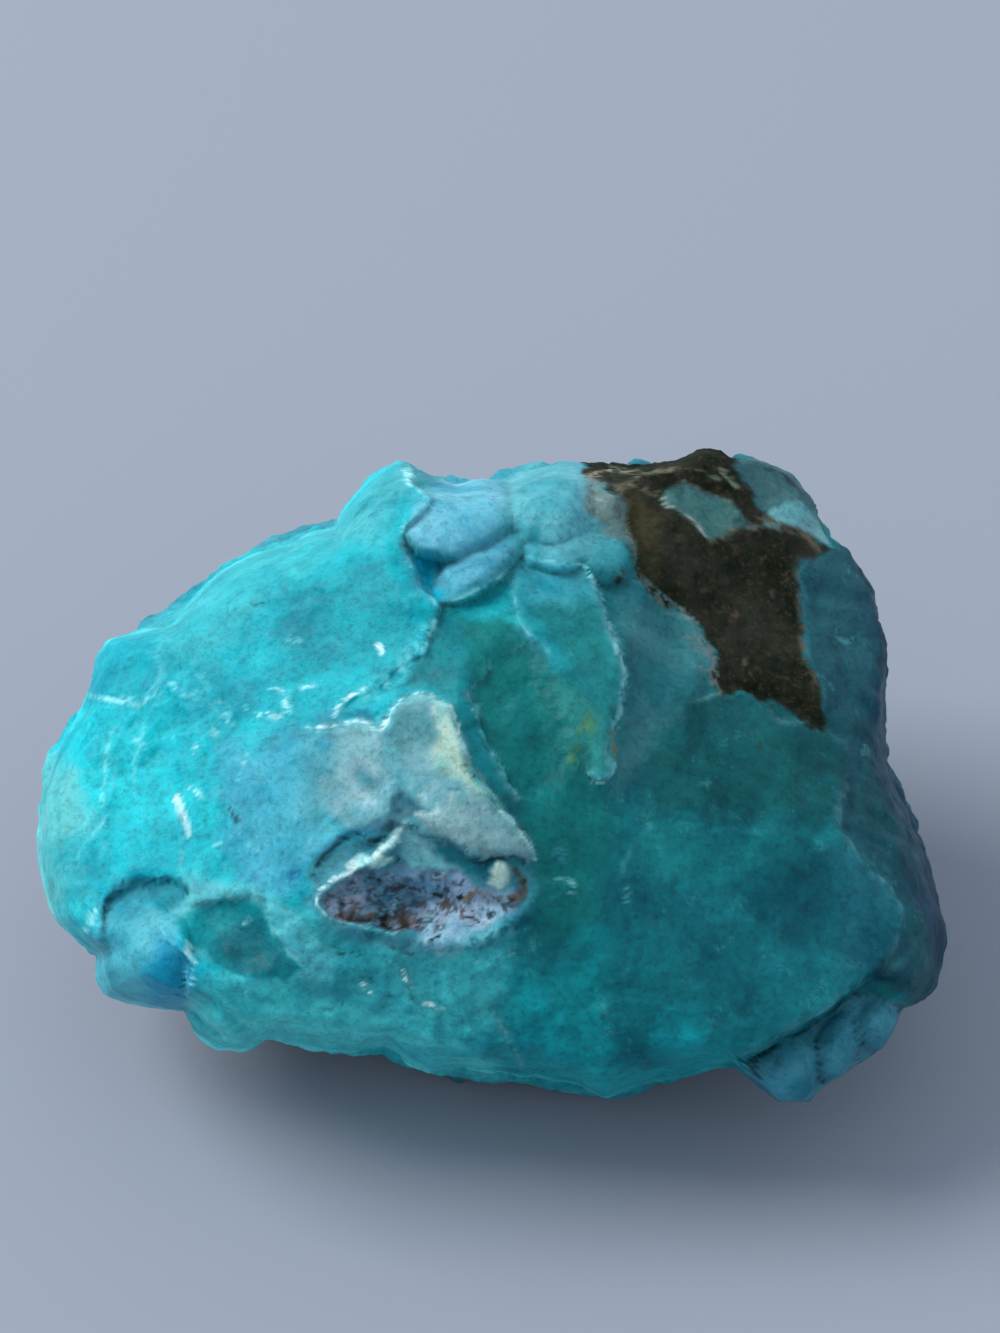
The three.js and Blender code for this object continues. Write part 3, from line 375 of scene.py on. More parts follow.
def outline_tables(steps=720, blur=30):
    """Radius of the outline all round, as a broad shape and the detail that is left over."""
    angles = np.array([math.atan2(v, u) for u, v in OUTLINE])
    radii = np.array([math.hypot(u, v) for u, v in OUTLINE])
    order = np.argsort(angles)
    table = -math.pi + 2 * math.pi * np.arange(steps) / steps
    radius = np.interp(table, angles[order], radii[order], period=2 * math.pi)
    weights = 0.5 + 0.5 * np.cos(math.pi * np.arange(-blur, blur + 1) / (blur + 1))
    weights /= weights.sum()
    broad = np.convolve(np.concatenate([radius[-blur:], radius, radius[:blur]]), weights, "valid")
    return table, broad, radius - broad


TABLE, BROAD, DETAIL = outline_tables()


def base_form(directions):
    """The trimmed lump, before anything stands on it."""
    a, b, c = directions.T
    spread = np.minimum(1, np.hypot(a, b))
    angle = np.arctan2(b, a)
    detail = np.where(c > 0, spread ** 8, smoothstep(-0.2, 0, c))
    radius = spread * (
        np.interp(angle, TABLE, BROAD, period=2 * math.pi)
        + np.interp(angle, TABLE, DETAIL, period=2 * math.pi) * detail
    )
    u, v = radius * np.cos(angle), radius * np.sin(angle)
    bulge = np.sqrt(1 - spread ** 2.3)
    face = FACE_DEPTH * bulge
    for middle, along_u, along_v in FACE_PLANES:
        face = soft_min(face, middle + along_u * u + along_v * v, 3)
    return u, v, np.where(c > 0, face, -BACK_DEPTH * bulge)


def curve_through(line, per=3):
    """A smooth curve through the points of a line, with per steps from one to the next."""
    p = np.array([(*q, 0)[:3] for q in line], float)  # a line without heights lies at 0
    p = np.concatenate([[2 * p[0] - p[1]], p, [2 * p[-1] - p[-2]]])
    points = []
    for a, b, c, d in zip(p, p[1:], p[2:], p[3:]):
        for step in range(per):
            t = step / per
            bend = (2 * a - 5 * b + 4 * c - d) * t * t + (3 * b - a - 3 * c + d) * t ** 3
            points.append(0.5 * (2 * b + (c - a) * t + bend))
    points.append(p[-2])
    return np.array(points)


def even_points(line, spacing=0.8):
    """Evenly spaced points along a line's curve, and how far apart they are."""
    p = curve_through(line, 6)
    run = np.concatenate([[0], np.cumsum(np.hypot(*np.diff(p[:, :2], axis=0).T))])
    count = max(2, round(run[-1] / spacing))
    places = (np.arange(count) + 0.5) / count * run[-1]
    return np.stack([np.interp(places, run, p[:, k]) for k in range(3)], 1), run[-1] / count


def beside_line(line, u, v, reach):
    """Where each (u, v) lies beside a line, for those within reach of it.

    across is the distance to it, positive on its left. turn is how much of a half turn the line fills
    as seen from there: 1 beside it and 0 straight past its ends. away is the softened distance, rise is
    the height there and toward points to the nearest place on the line.
    """
    corners = curve_through(line)
    near = (u > corners[:, 0].min() - reach) & (u < corners[:, 0].max() + reach)
    near &= (v > corners[:, 1].min() - reach) & (v < corners[:, 1].max() + reach)
    x, y = u[near], v[near]
    nearest = np.full(len(x), 1e9)
    toward = np.zeros((len(x), 2))
    angle = np.zeros(len(x))
    for (au, av, _), (bu, bv, _) in zip(corners, corners[1:]):
        du, dv = bu - au, bv - av
        t = np.clip(((x - au) * du + (y - av) * dv) / (du * du + dv * dv), 0, 1)
        to_u, to_v = au + t * du - x, av + t * dv - y
        distance = np.hypot(to_u, to_v)
        closer = distance < nearest
        nearest[closer] = distance[closer]
        toward[closer] = np.stack([to_u, to_v], 1)[closer]
        cross = (au - x) * (bv - y) - (av - y) * (bu - x)
        angle += np.arctan2(cross, (au - x) * (bu - x) + (av - y) * (bv - y))
    samples, step = even_points(line)
    total = np.zeros(len(x))
    risen = np.zeros(len(x))
    for a, b, rise in samples:
        square = (x - a) ** 2 + (y - b) ** 2 + LEDGE_ROUNDING
        weight = step / (square * square * np.sqrt(square))
        total += weight
        risen += weight * rise
    found = {
        "across": np.full(len(u), 1e9), "turn": np.zeros(len(u)), "toward": np.zeros((len(u), 2)),
        "rise": np.zeros(len(u)), "away": np.full(len(u), 1e9),
    }
    found["across"][near] = np.where(angle > 0, nearest, -nearest)
    found["turn"][near] = np.minimum(np.abs(angle) / math.pi, 1)
    found["toward"][near] = toward / np.maximum(nearest, 1e-9)[:, None]
    found["rise"][near] = risen / total
    found["away"][near] = np.sqrt(np.maximum(1 / np.sqrt(0.75 * total) - LEDGE_ROUNDING, 0))
    return found


def inside_oval(oval, u, v):
    """1 at the middle of an oval, falling to 0 at its edge and beyond."""
    angle = math.radians(oval["turn"])
    x, y = u - oval["centre"][0], v - oval["centre"][1]
    a = (x * math.cos(angle) + y * math.sin(angle)) / oval["half"][0]
    b = (-x * math.sin(angle) + y * math.cos(angle)) / oval["half"][1]
    return np.clip(1 - a * a - b * b, 0, 1)


def pull_to_ledges(u, v, strength):
    """Draws points of the face in towards the nearest ledge, so that faces run along its edge."""
    near = np.full(len(u), 9.0)
    second = np.full(len(u), 9.0)
    pull = np.zeros((len(u), 2))
    for ledge in LEDGES:
        beside = beside_line(ledge["line"], u, v, 2)
        distance = np.abs(beside["across"])
        kept = np.minimum(distance, LEDGE_PULL)
        move = kept - 0.12 * kept - 0.88 * kept * kept / LEDGE_PULL
        firm = np.clip(beside["rise"] / 0.6, 0, 1) * smoothstep(0.3, 0.8, beside["turn"])
        closer = distance < near
        second = np.where(closer, near, np.minimum(second, distance))
        near = np.where(closer, distance, near)
        pull[closer] = ((move * firm)[:, None] * beside["toward"])[closer]
    keep = np.clip((second - near) / 0.5, 0, 1) * strength
    return u + pull[:, 0] * keep, v + pull[:, 1] * keep


def face_relief(u, v):
    """How far the face stands out at (u, v), where pale rims get painted highlights and crevices get
    painted shade.
    """
    lift = np.zeros(len(u))
    for hollow in HOLLOWS:
        lift -= hollow["depth"] * smoothstep(0, 1, inside_oval(hollow, u, v))
    top = np.zeros(len(u))
    for dome in DOMES:
        top = np.maximum(top, dome["rise"] * np.sqrt(inside_oval(dome, u, v)))
    lift += top
    rim = np.zeros(len(u))
    crevice = np.zeros(len(u))
    for ledge in LEDGES:
        beside = beside_line(ledge["line"], u, v, ledge["reach"] * 3.5)
        away, rise, turn = beside["away"], beside["rise"], beside["turn"]
        up = 1 / (1 + np.exp(-np.clip(beside["across"] / LEDGE_EDGE, -30, 30)))
        lift += rise * up * turn ** 0.6 * np.exp(-((away / ledge["reach"]) ** 1.3))
        lift -= (1 - up) * turn * ledge["dig"] * np.clip(rise, 0, 2) / 2 * np.exp(-away / DIG_WIDTH)
        # pale rim along the ledge's edge, partly a painted highlight that also lightens the shade on its
        # wall
        edge = np.exp(-np.abs(beside["across"]) / np.where(beside["across"] > 0, 0.26, 0.14))
        rim = np.maximum(rim, np.clip(rise / 0.5, 0, 1) * edge * turn * ledge["rim"])
        # painted shade at the foot of high ledges, where the crevice lies in shadow
        crevice = np.maximum(crevice, smoothstep(0.7, 2.0, rise) * (1 - up) * turn * np.exp(-away / 0.8))
    for ridge in RIDGES:
        beside = beside_line(ridge["line"], u, v, ridge["width"] * 3)
        lift += beside["rise"] * np.exp(-((beside["away"] / ridge["width"]) ** 2))
    return lift, rim, crevice


def stand_lobes(u, v, w, in_bay):
    """Lowers the floor of the bay and stands the rounded lobes on it."""
    w = w - in_bay * np.maximum(w - BAY["level"], 0)
    for lobe in LOBES:
        inside = inside_oval(lobe, u, v)
        crest = lobe["foot"] + lobe["rise"] * np.sqrt(inside)
        w = np.where(inside > 0, np.maximum(w, crest), w)
    return w


def spread_places(count, first, last, radius, key):
    """Places spread over the lump in a spiral: u, v, w, radius and a random slope of each."""
    places = []
    for k in range(count):
        c = first + (last - first) * (k + 0.5) / count
        angle = k * GOLDEN_ANGLE + 0.9 * scatter(k + key)
        s = math.sqrt(max(0, 1 - c * c))
        size = radius[0] + (radius[1] - radius[0]) * scatter(k + key + 300) ** 2
        slope = [scatter(k + key + shift) - 0.5 for shift in (500, 700, 900)]
        places.append((s * math.cos(angle), s * math.sin(angle), c, size, *slope))
    places = np.array(places)
    places[:, :3] = np.stack(base_form(places[:, :3]), 1)
    return places


def growth_height(at):
    """How far the rounded lumps of crust stand out at each point."""
    height = np.zeros(len(at))
    for place in spread_places(**CRUST_GROWTHS):
        radius = place[3]
        square = radius ** 2 - ((at - place[:3]) ** 2).sum(1)
        height = np.maximum(height, np.sqrt(np.maximum(square, 0)) * 0.6 - 0.14 * radius)
    return height * 0.85 - 0.6


def facet_height(at):
    """How far the broad broken planes stand out at each point."""
    total = np.zeros(len(at))
    summed = np.zeros(len(at))
    for place in spread_places(**BROKEN_FACETS):
        offset = at - place[:3]
        weight = ((offset ** 2).sum(1) + 1) ** -7.0
        height = (offset @ place[4:]) * FACET_STEEPNESS
        total += weight
        summed += weight * np.clip(height, -FACET_LIMIT, FACET_LIMIT)
    return summed / total


def trim_back(u, v, w, c):
    """Cuts the back and the sides down to their broad planes."""
    on_back = smoothstep(0.05, -0.25, c)
    for plane in BACK_PLANES:
        du, dv, dw = plane["direction"]
        over = np.maximum(u * du + v * dv + w * dw - plane["distance"], 0) * on_back * 0.9
        u, v, w = u - over * du, v - over * dv, w - over * dw
    return u, v, w


def edge_stray(start, key):
    """How far ledges stray from their lines at each point, so that none runs quite straight."""
    return 0.30 * smooth_noise(start, 1.9, key) + 0.13 * smooth_noise(start, 0.75, key + 1)


def crust_share(crust_across, in_bay, c):
    """How much crust grows down the right side: none on the face and little in the bay."""
    crust = smoothstep(0.3, 1.8, crust_across) * smoothstep(0.8, 0.5, c)
    return crust * ((0.35 + 0.65 * smoothstep(0.2, -0.05, c)) * (1 - 0.9 * in_bay))


def long_swell(start, c):
    """Broad uneven height all over, strongest on the back and none along the outline."""
    swell = waves(*start.T, 9.0) * 0.45
    ripple = waves(start[:, 0] + 31, start[:, 1] - 17, start[:, 2] + 5, 3.6) * 0.18
    return (swell + ripple) * smoothstep(0, 0.3, np.abs(c)) * (1 + 0.8 * smoothstep(0, -0.3, c))


def shape_stone(directions):
    """Carries directions to their places on the stone, with what the surface needs to know about each.

    Here c runs from 1 at the middle of the face through 0 at the outline to -1 at the middle of the back.
    """
    c = directions[:, 2]
    u, v, w = trim_back(*base_form(directions), c)
    start = np.stack([u, v, w], 1)
    on_face = smoothstep(0.02, 0.3, c)
    off_edge = smoothstep(0, 0.08, c)
    side = smoothstep(0, -0.08, c)
    behind = smoothstep(0, -0.12, c)

    # the broken face
    stray_u, stray_v = edge_stray(start, 11), edge_stray(start, 13)
    pulled_u, pulled_v = pull_to_ledges(u + stray_u, v + stray_v, smoothstep(0.02, 0.12, c))
    u, v = pulled_u - stray_u, pulled_v - stray_v
    lift, rim, crevice = face_relief(pulled_u, pulled_v)
    w = w + lift * on_face
    crust_across = beside_line(CRUST_EDGE, u, v, EVERYWHERE)["across"]
    in_bay = smoothstep(-0.5, 0.1, crust_across) * smoothstep(0, 0.3, inside_oval(BAY, u, v)) * off_edge
    w = w + (stand_lobes(u, v, w, in_bay) - w) * off_edge

    # crust and broken planes round the sides and the back
    away = start * (0.6, 1, 1)
    away /= np.linalg.norm(away, axis=1, keepdims=True)
    patches = smoothstep(-0.3, 0.35, waves(start[:, 0] + 11, start[:, 1], start[:, 2], 16))
    grown = np.maximum(behind * patches, crust_share(crust_across, in_bay, c))
    broken = facet_height(start) * behind
    room = np.where(c > 0, 1e9, 0.3 + OUTLINE_ROOM * (1 - np.hypot(directions[:, 0], directions[:, 1])))
    bumps = np.minimum(growth_height(start) * grown + broken * (1 - 0.7 * grown), room)
    u = u + away[:, 0] * bumps * side
    v = v + away[:, 1] * bumps * side
    w = w + (away[:, 2] * side + (1 - side) * on_face) * bumps

    rough = long_swell(start, c)
    u = u + away[:, 0] * rough * 0.3
    v = v + away[:, 1] * rough * 0.3
    w = w + away[:, 2] * rough
    w = w + OUTLINE_LEAN * v
    facts = {
        "c": c, "u": u, "v": v, "rim": rim * on_face, "crevice": crevice * on_face, "grown": grown,
        "patches": patches,
    }
    narrowed = 1 - w * NARROWING
    u = VIEW_CENTRE[0] + (u - VIEW_CENTRE[0]) * narrowed
    v = VIEW_CENTRE[1] + (v - VIEW_CENTRE[1]) * narrowed
    return np.stack([u, v, w], 1), facts


def cube_directions(count):
    """Directions and quads of a cube pushed out to a sphere, crowded towards the broken face."""
    grid = np.tan(np.linspace(-1, 1, count + 1) * math.pi / 4)
    a, b = np.meshgrid(grid, grid, indexing="ij")
    axes = np.eye(3)
    across = count + 1
    points, quads = [], []
    for k in range(3):
        for sign in (1, -1):
            one, two = axes[(k + 1) % 3], axes[(k + 2) % 3]
            if sign < 0:
                one, two = two, one
            face = sign * axes[k] + a[..., None] * one + b[..., None] * two
            index = np.arange(across ** 2).reshape(across, across) + len(points) * across ** 2
            corners = (index[:-1, :-1], index[1:, :-1], index[1:, 1:], index[:-1, 1:])
            quads.append(np.stack(corners, -1).reshape(-1, 4))
            points.append(face.reshape(-1, 3))
    points = np.concatenate(points)
    points /= np.linalg.norm(points, axis=1, keepdims=True)
    _, first, back = np.unique(np.round(points, 6), axis=0, return_index=True, return_inverse=True)
    points, quads = points[first], back.reshape(-1)[np.concatenate(quads)]
    angle = np.arccos(np.clip(points[:, 2], -1, 1))
    moved = angle - CROWDING * np.sin(angle)
    ring = np.hypot(points[:, 0], points[:, 1])
    scale = np.sin(moved) / np.maximum(ring, 1e-9)
    return np.stack([points[:, 0] * scale, points[:, 1] * scale, np.cos(moved)], 1), quads


def vertex_normals(points, quads):
    p = points[quads]
    across = np.cross(p[:, 2] - p[:, 0], p[:, 3] - p[:, 1])
    normals = np.zeros_like(points)
    for k in range(4):
        np.add.at(normals, quads[:, k], across)
    return normals / np.maximum(np.linalg.norm(normals, axis=1, keepdims=True), 1e-12)


def to_frame(points):
    """Leans points of the drawing back and sets them down, still in millimetres."""
    lean = math.radians(FACE_LOOKS_UP_DEG)
    u, v, w = points.T
    y = v * math.sin(lean) - w * math.cos(lean)
    z = v * math.cos(lean) + w * math.sin(lean)
    return np.stack([u, y, z], 1) - SET_DOWN


# Colours on the stone

TEAL = (0.001, 0.150, 0.180)  # wherever no zone lies


def zone(colour, soft, wander, wax, chip, *outline):
    """An area of one colour inside an outline in u and v; a later one lies over an earlier one.

    soft and wander are how soft its border is and how far it strays. wax is how much light goes into the
    stone there, with 0 for brown matrix, and chip is how broken up it is.
    """
    return {
        "outline": outline, "colour": colour, "soft": soft, "wander": wander, "wax": wax, "chip": chip,
    }


def mark(width, colour, *line, soft=0.16, solid=False):
    """A small mark drawn along a line in u and v, or a spot where only one point is given.

    width is half its breadth and soft is how soft its edge is. Noise breaks it up unless it is solid.
    """
    return {"line": line, "width": width, "colour": colour, "soft": soft, "solid": solid}


# The broken face, from its broad areas to the small ones that lie over them
ZONES = [
    # left half, lit cyan
    zone((0, 0.42, 0.49), 1, 0.5, 1, 0.35, (-50, 30), (-8, 34), (-5.7, 28), (-8.4, 24.5), (-7.3, 20.5),
         (-5, 17.4), (-6.2, 13.5), (-4, 9), (-2.5, 2), (3, -6), (-3, -14), (-12, -21), (-20, -30),
         (-50, -30)),
    # far left, paler
    zone((0, 0.49, 0.56), 2.5, 1.5, 1, 0.7, (-50, 25), (-33, 17), (-29, 10), (-26, 4), (-24.5, -2),
         (-24, -9), (-31, -9.6), (-38, -11), (-41, -18), (-50, -18)),
    # left rim, pale green
    zone((0.1, 0.46, 0.48), 2, 1.2, 1, 0.5, (-50, 3), (-42.5, 2), (-40.5, -4), (-41.5, -10), (-41.5, -20),
         (-50, -20)),
    # paler along the upper left edge
    zone((0.04, 0.45, 0.5), 3, 2, 1, 0.25, (-38, 18), (-17, 27), (-16, 23), (-21, 20), (-26, 14),
         (-34, 9)),
    # knob at the top of the left sheet
    zone((0.05, 0.37, 0.42), 1.4, 0.8, 1, 0.6, (-17, 24), (-14, 27), (-9, 33), (-6, 31), (-7.5, 28.5),
         (-9, 27), (-11, 24)),
    # deeper cyan behind the edge of the left sheet
    zone((0, 0.31, 0.37), 2.4, 1.2, 1, 0.2, (-20, 19), (-13, 23), (-9.5, 23), (-8.6, 20.5), (-7, 17.4),
         (-7.6, 13.5), (-9, 11.4), (-16, 10.5), (-21, 13)),
    # corner at the upper left
    zone((0, 0.34, 0.42), 1, 0.6, 1, 0.4, (-41, 13), (-34, 14.5), (-31.5, 12), (-33, 8.5), (-38, 7.8),
         (-41, 8)),
    # blue fade left of the white patch
    zone((0.06, 0.4, 0.51), 1.6, 1.4, 0.8, 0.5, (-26, 3), (-20, 5.5), (-12, 5), (-12, -4), (-17, -7),
         (-20, -10.5), (-25, -10), (-27, -4)),
    # white-grey patch
    zone((0.15, 0.34, 0.38), 0.7, 0.3, 0.45, 0.5, (-17, 5.3), (-13, 5.8), (-10.8, 5.3), (-9.8, 6.6),
         (-8.8, 8.3), (-6.3, 8.4), (-4, 7.6), (-2.9, 4.6), (-2.2, 1.2), (-0.4, -0.5), (2.2, -4.6),
         (4.2, -7.4), (3.4, -8.2), (-2.4, -7.9), (-6, -5.4), (-8.4, -3), (-10, -4.4), (-14, -5),
         (-17.6, -2)),
    # fade on its left
    zone((0.08, 0.32, 0.38), 2, 1.2, 0.6, 0.5, (-19, 5), (-16.4, 5), (-15.4, 1), (-15.6, -5), (-19, -5)),
    # grey cloud in its top
    zone((0.07, 0.23, 0.26), 1, 0.9, 0.4, 0.3, (-9.6, 6.6), (-7.6, 7.8), (-5.6, 7.2), (-5.4, 5.2),
         (-6.4, 3.4), (-8.4, 2.2), (-10.6, 3), (-10.4, 5.2)),
    # white cloud under it
    zone((0.21, 0.36, 0.4), 1.2, 1, 0.4, 0.3, (-15.6, 1.4), (-13, 2), (-9.8, 2), (-6, 2.4), (-4.4, 0.4),
         (-6, -1.2), (-9.4, -0.6), (-11.6, -1.8), (-13.6, -3.4), (-15.4, -2.4)),
    # cream tint along its right edge
    zone((0.43, 0.53, 0.44), 0.8, 0.8, 0.4, 0.3, (-5.6, 7.6), (-4.2, 7.4), (-3, 4.6), (-2.3, 1.2),
         (-0.5, -0.6), (2, -4.6), (3.8, -7.2), (2.4, -6.4), (0, -3.6), (-2.4, -1.4), (-4.6, 0.4),
         (-6.2, 2.4), (-5.2, 4.4)),
    # grey part over the hollow
    zone((0.25, 0.38, 0.4), 0.7, 0.4, 0.4, 0.4, (-7.6, -3.7), (-5.2, -3.3), (-4, -1.6), (-1.5, -1.2),
         (0.3, -2), (1.8, -3.8), (4.2, -7), (3.6, -7.8), (0.6, -7.3), (-1.4, -7.8), (-2.3, -7.6),
         (-2.8, -6.7), (-4.6, -6.2), (-6.2, -5.6), (-7.6, -4.8)),
    # shade left of the arch
    zone((0.02, 0.17, 0.27), 0.7, 0.5, 0.5, 0.5, (-16.8, -6.8), (-14.2, -4.9), (-12.2, -4.3),
         (-10.4, -3.4), (-10.1, -5.1), (-11.8, -5.9), (-13.4, -5.5), (-15.4, -6.6), (-17.4, -8.8)),
    # low centre
    zone((0.03, 0.33, 0.37), 1.8, 1.4, 0.8, 1, (-22, -12), (-14, -13.5), (-5, -16), (2, -15), (1, -21),
         (-1, -23), (3, -31), (-40, -31), (-31, -22), (-20, -18)),
    # paler foot of it
    zone((0.06, 0.5, 0.52), 1.4, 1.2, 0.9, 0.9, (-30, -21), (-22, -20.5), (-15, -23.5), (-6, -25.5),
         (0, -27), (3, -33), (-40, -33)),
    # grey-blue lobe at the lower left
    zone((0.065, 0.38, 0.46), 0.5, 0.6, 0.8, 0.4, (-39, -12), (-37, -10.6), (-31, -10.2), (-30, -13),
         (-32, -16), (-30, -20), (-30, -24), (-42, -26), (-40, -17)),
    # deep blue at its foot
    zone((0, 0.26, 0.41), 1.2, 0.6, 0.8, 0.2, (-33.2, -15), (-31.4, -15.8), (-29.9, -18.4),
         (-30.2, -22.6), (-33.8, -22.6), (-34.8, -19)),
    # frosty bank round the dark hollow
    zone((0.09, 0.44, 0.49), 0.6, 0.8, 0.8, 1, (-30.6, -9.8), (-26, -10.2), (-22.6, -10.2), (-20.2, -12),
         (-18.4, -15), (-15.6, -18), (-16.5, -20), (-20, -20), (-24, -20.6), (-31, -17)),
    # dark hollow beside it
    zone((0, 0.25, 0.29), 0.3, 0.4, 0.8, 0.3, (-31.6, -14.4), (-30, -12.9), (-27.1, -12), (-24, -11.6),
         (-22.6, -12.5), (-21.8, -14.7), (-20.4, -17.2), (-18.8, -19.1), (-21, -20.2), (-24, -20.2),
         (-27, -19.2), (-28.8, -17), (-30.6, -16.2)),
    # its darker floor
    zone((0, 0.145, 0.18), 0.7, 0.6, 0.8, 0.2, (-27.8, -16.4), (-26, -15), (-24.2, -13.2), (-22.8, -13.4),
         (-22, -15.6), (-19.6, -19), (-22, -19.8), (-25.4, -19.4), (-27.4, -18)),
    # lower front
    zone((0, 0.29, 0.325), 2.5, 1.4, 1, 0.7, (2, -19.5), (8, -20.5), (16, -24), (24, -26), (24, -33),
         (0, -33)),
    # green basin in the middle
    zone((0, 0.17, 0.165), 1.6, 0.9, 1, 0.2, (-3.5, 14), (-1, 17.5), (2.5, 17), (4.5, 13), (8, 10),
         (10.5, 4), (10.5, 0), (13, -1), (12, -8), (9, -16), (4, -16), (4.6, -8), (2.6, -3.6), (0, 1),
         (-1.5, 6.5)),
    # thin shell above it
    zone((0.006, 0.31, 0.35), 0.6, 0.4, 1, 0.25, (-4.5, 17.4), (0.5, 20), (3.4, 22.4), (9.8, 21.2),
         (11.6, 17), (13.8, 10.8), (12.3, 4), (12.4, 1), (10.6, 0), (9.6, 4), (7, 10), (4, 14.5),
         (1.6, 16.4), (-2, 16)),
    # its green lower end
    zone((0.03, 0.25, 0.23), 1.4, 0.8, 1, 0.4, (6.4, 10.4), (10, 9.6), (12.6, 5.6), (12.2, 1.4),
         (10.4, 0.4), (9.2, 3.4), (7.6, 6)),
    # paler right side of the shell
    zone((0.01, 0.2, 0.21), 1.2, 0.5, 1, 0.25, (3.2, 21.8), (9.4, 20.8), (11, 17), (13.2, 11), (12.2, 5),
         (10.6, 6), (9, 10), (6, 14.5), (3.4, 17.5)),
    # bluer top of it
    zone((0.045, 0.32, 0.38), 1.4, 0.5, 1, 0.2, (2, 21.4), (4.6, 22.6), (9.8, 21.3), (10.6, 18.5),
         (7, 17.5), (3, 18)),
    # strip between the left sheet and the basin
    zone((0, 0.195, 0.225), 0.8, 0.5, 1, 0.25, (-5, 17), (-3, 17.5), (-2.8, 12), (-2, 8), (-0.6, 4),
         (2.6, -1.4), (0.6, -1), (-2, 1.4), (-3, 5.5), (-4.6, 8.3), (-9, 9.4), (-6.2, 13.2)),
    # blue-grey recess right of the shell
    zone((0.045, 0.2, 0.22), 1.3, 0.6, 0.5, 0.3, (12, 21), (14.8, 21), (18, 17.6), (21, 15), (22.3, 10),
         (23.6, 8.4), (20.5, 6.5), (17, 3), (13, -1), (12.8, 3), (14, 9), (13, 14)),
    # behind the domes
    zone((0.045, 0.29, 0.34), 0.7, 0.3, 0.6, 0.3, (-9, 24), (-7.5, 18.5), (-4.5, 17.2), (2.5, 21),
         (10, 21.5), (14, 21), (14, 26), (11, 33), (-8, 33), (-6, 28)),
    # pocket beside the domes
    zone((0, 0.55, 0.75), 0.8, 0.3, 0.8, 0.2, (-8, 23), (-7, 18.6), (-5.2, 17.6), (-4, 19.8), (-6, 22.4)),
    # sky blue dome
    zone((0.16, 0.48, 0.6), 0.6, 0.3, 0.7, 0.2, (-8.3, 25), (-7, 23.2), (-4, 22.8), (-0.5, 24), (2, 26.5),
         (2.3, 29), (0, 30.6), (-4, 30.6), (-7, 28.5)),
    # long blue one under it
    zone((0.1, 0.36, 0.47), 0.6, 0.3, 0.7, 0.2, (-6, 19), (-5, 21.4), (-1, 24.4), (2.6, 25), (3.2, 23.6),
         (0, 20.8), (-3.6, 18.6)),
    # turquoise dome
    zone((0.11, 0.4, 0.46), 0.8, 0.4, 0.7, 0.3, (1.2, 25.5), (2, 22.8), (6, 21.8), (9.8, 22.5), (11, 25),
         (10, 29), (9.5, 33), (1.5, 33)),
    # upper part of the big face, olive
    zone((0.002, 0.106, 0.114), 2.2, 1.4, 0.9, 0.5, (19, 7.8), (22, 10), (27, 10), (32, 8), (36, 5),
         (36, -3), (31, -4.6), (21, -4.4), (16, -3), (15, 3)),
    # brown matrix
    zone((0.02, 0.0115, 0.0045), 0.3, 0.7, 0, 0.5, (8.8, 30.2), (11, 34), (24, 34), (25.2, 30),
         (27.4, 26.9), (30, 25.8), (31.6, 24.9), (34.2, 22.8), (32.2, 22.3), (30.9, 21), (31.2, 16.6),
         (31.6, 13), (32.5, 10), (34.2, 5.4), (31.4, 5.6), (29, 6.6), (27, 8.5), (25, 9.3), (23.3, 8.7),
         (22.2, 10.5), (22.2, 13), (20.4, 15.6), (17.4, 17.6), (14.8, 20.8), (14.8, 23), (13.5, 25),
         (13.2, 27.4), (11.6, 29.4)),
    # golden side of it
    zone((0.062, 0.042, 0.014), 1.2, 1, 0, 0.5, (13, 25.5), (13, 28.5), (14.6, 28.8), (16.6, 25),
         (17, 21), (15.2, 21.2), (14.2, 24)),
    # cream and grey rind at its upper left
    zone((0.13, 0.17, 0.16), 0.8, 1, 0.2, 0.6, (9.2, 29.8), (12.2, 29.2), (13.2, 26.6), (13.2, 24.8),
         (11.8, 24.4), (9.4, 26)),
    # first blue window in it
    zone((0.06, 0.16, 0.155), 0.3, 0.5, 0.4, 0.3, (17.3, 28.9), (17.6, 27.5), (18.8, 27.1), (20.5, 25.4),
         (22.2, 24.2), (26.2, 25.2), (24.2, 27.6), (21.6, 28.7), (19.6, 30.1)),
    # second blue window, out to the edge
    zone((0.045, 0.12, 0.13), 0.4, 0.5, 0.4, 0.3, (24, 31.6), (25.1, 30), (27.2, 27.5), (28.4, 26.3),
         (31.5, 25.4), (34, 25.5), (31, 31), (26, 32.4)),
    # pale lobe below that window
    zone((0.15, 0.35, 0.38), 0.3, 0.4, 0.5, 0.3, (27.6, 25.7), (28.2, 26.8), (29.6, 27.7), (31.4, 27.2),
         (32.8, 25.6), (34.2, 23.2), (32.4, 24.4), (29.6, 25.2)),
    # dark teal cup in the lower left lobe
    zone((0, 0.25, 0.32), 0.3, 0.4, 0.8, 0.2, (-34.4, -10.2), (-32.4, -9.8), (-30.7, -10.1),
         (-30.3, -11.8), (-31.6, -12.9), (-33.2, -12.4)),
    # crust down the right side
    zone((0.012, 0.074, 0.099), 0.5, 0.5, 0.35, 0.6, (31.2, 22), (34.4, 23), (36, 24.5), (50, 26),
         (50, -24), (42.4, -22.4), (38, -20), (41, -16), (41.2, -12.8), (38.6, -8.6), (35, -4.8),
         (35, 2.5), (33.6, 7), (32.2, 11), (31.3, 16)),
    # its navy rim
    zone((0.008, 0.045, 0.085), 1.6, 1, 0.3, 0.3, (38, 19), (38.4, 12), (38.3, 4), (40.5, -3),
         (43.5, -12), (44, -18), (50, -18), (50, 26), (38, 26)),
    # lighter band across the big face
    zone((0.003, 0.185, 0.2), 1, 0.9, 0.9, 0.5, (13.6, -5.6), (17, -4), (21, -4.9), (30, -5.2), (35, -5),
         (34, -7.5), (28, -9.4), (20, -9.8), (14, -11), (13.2, -8)),
    # bright corner plate
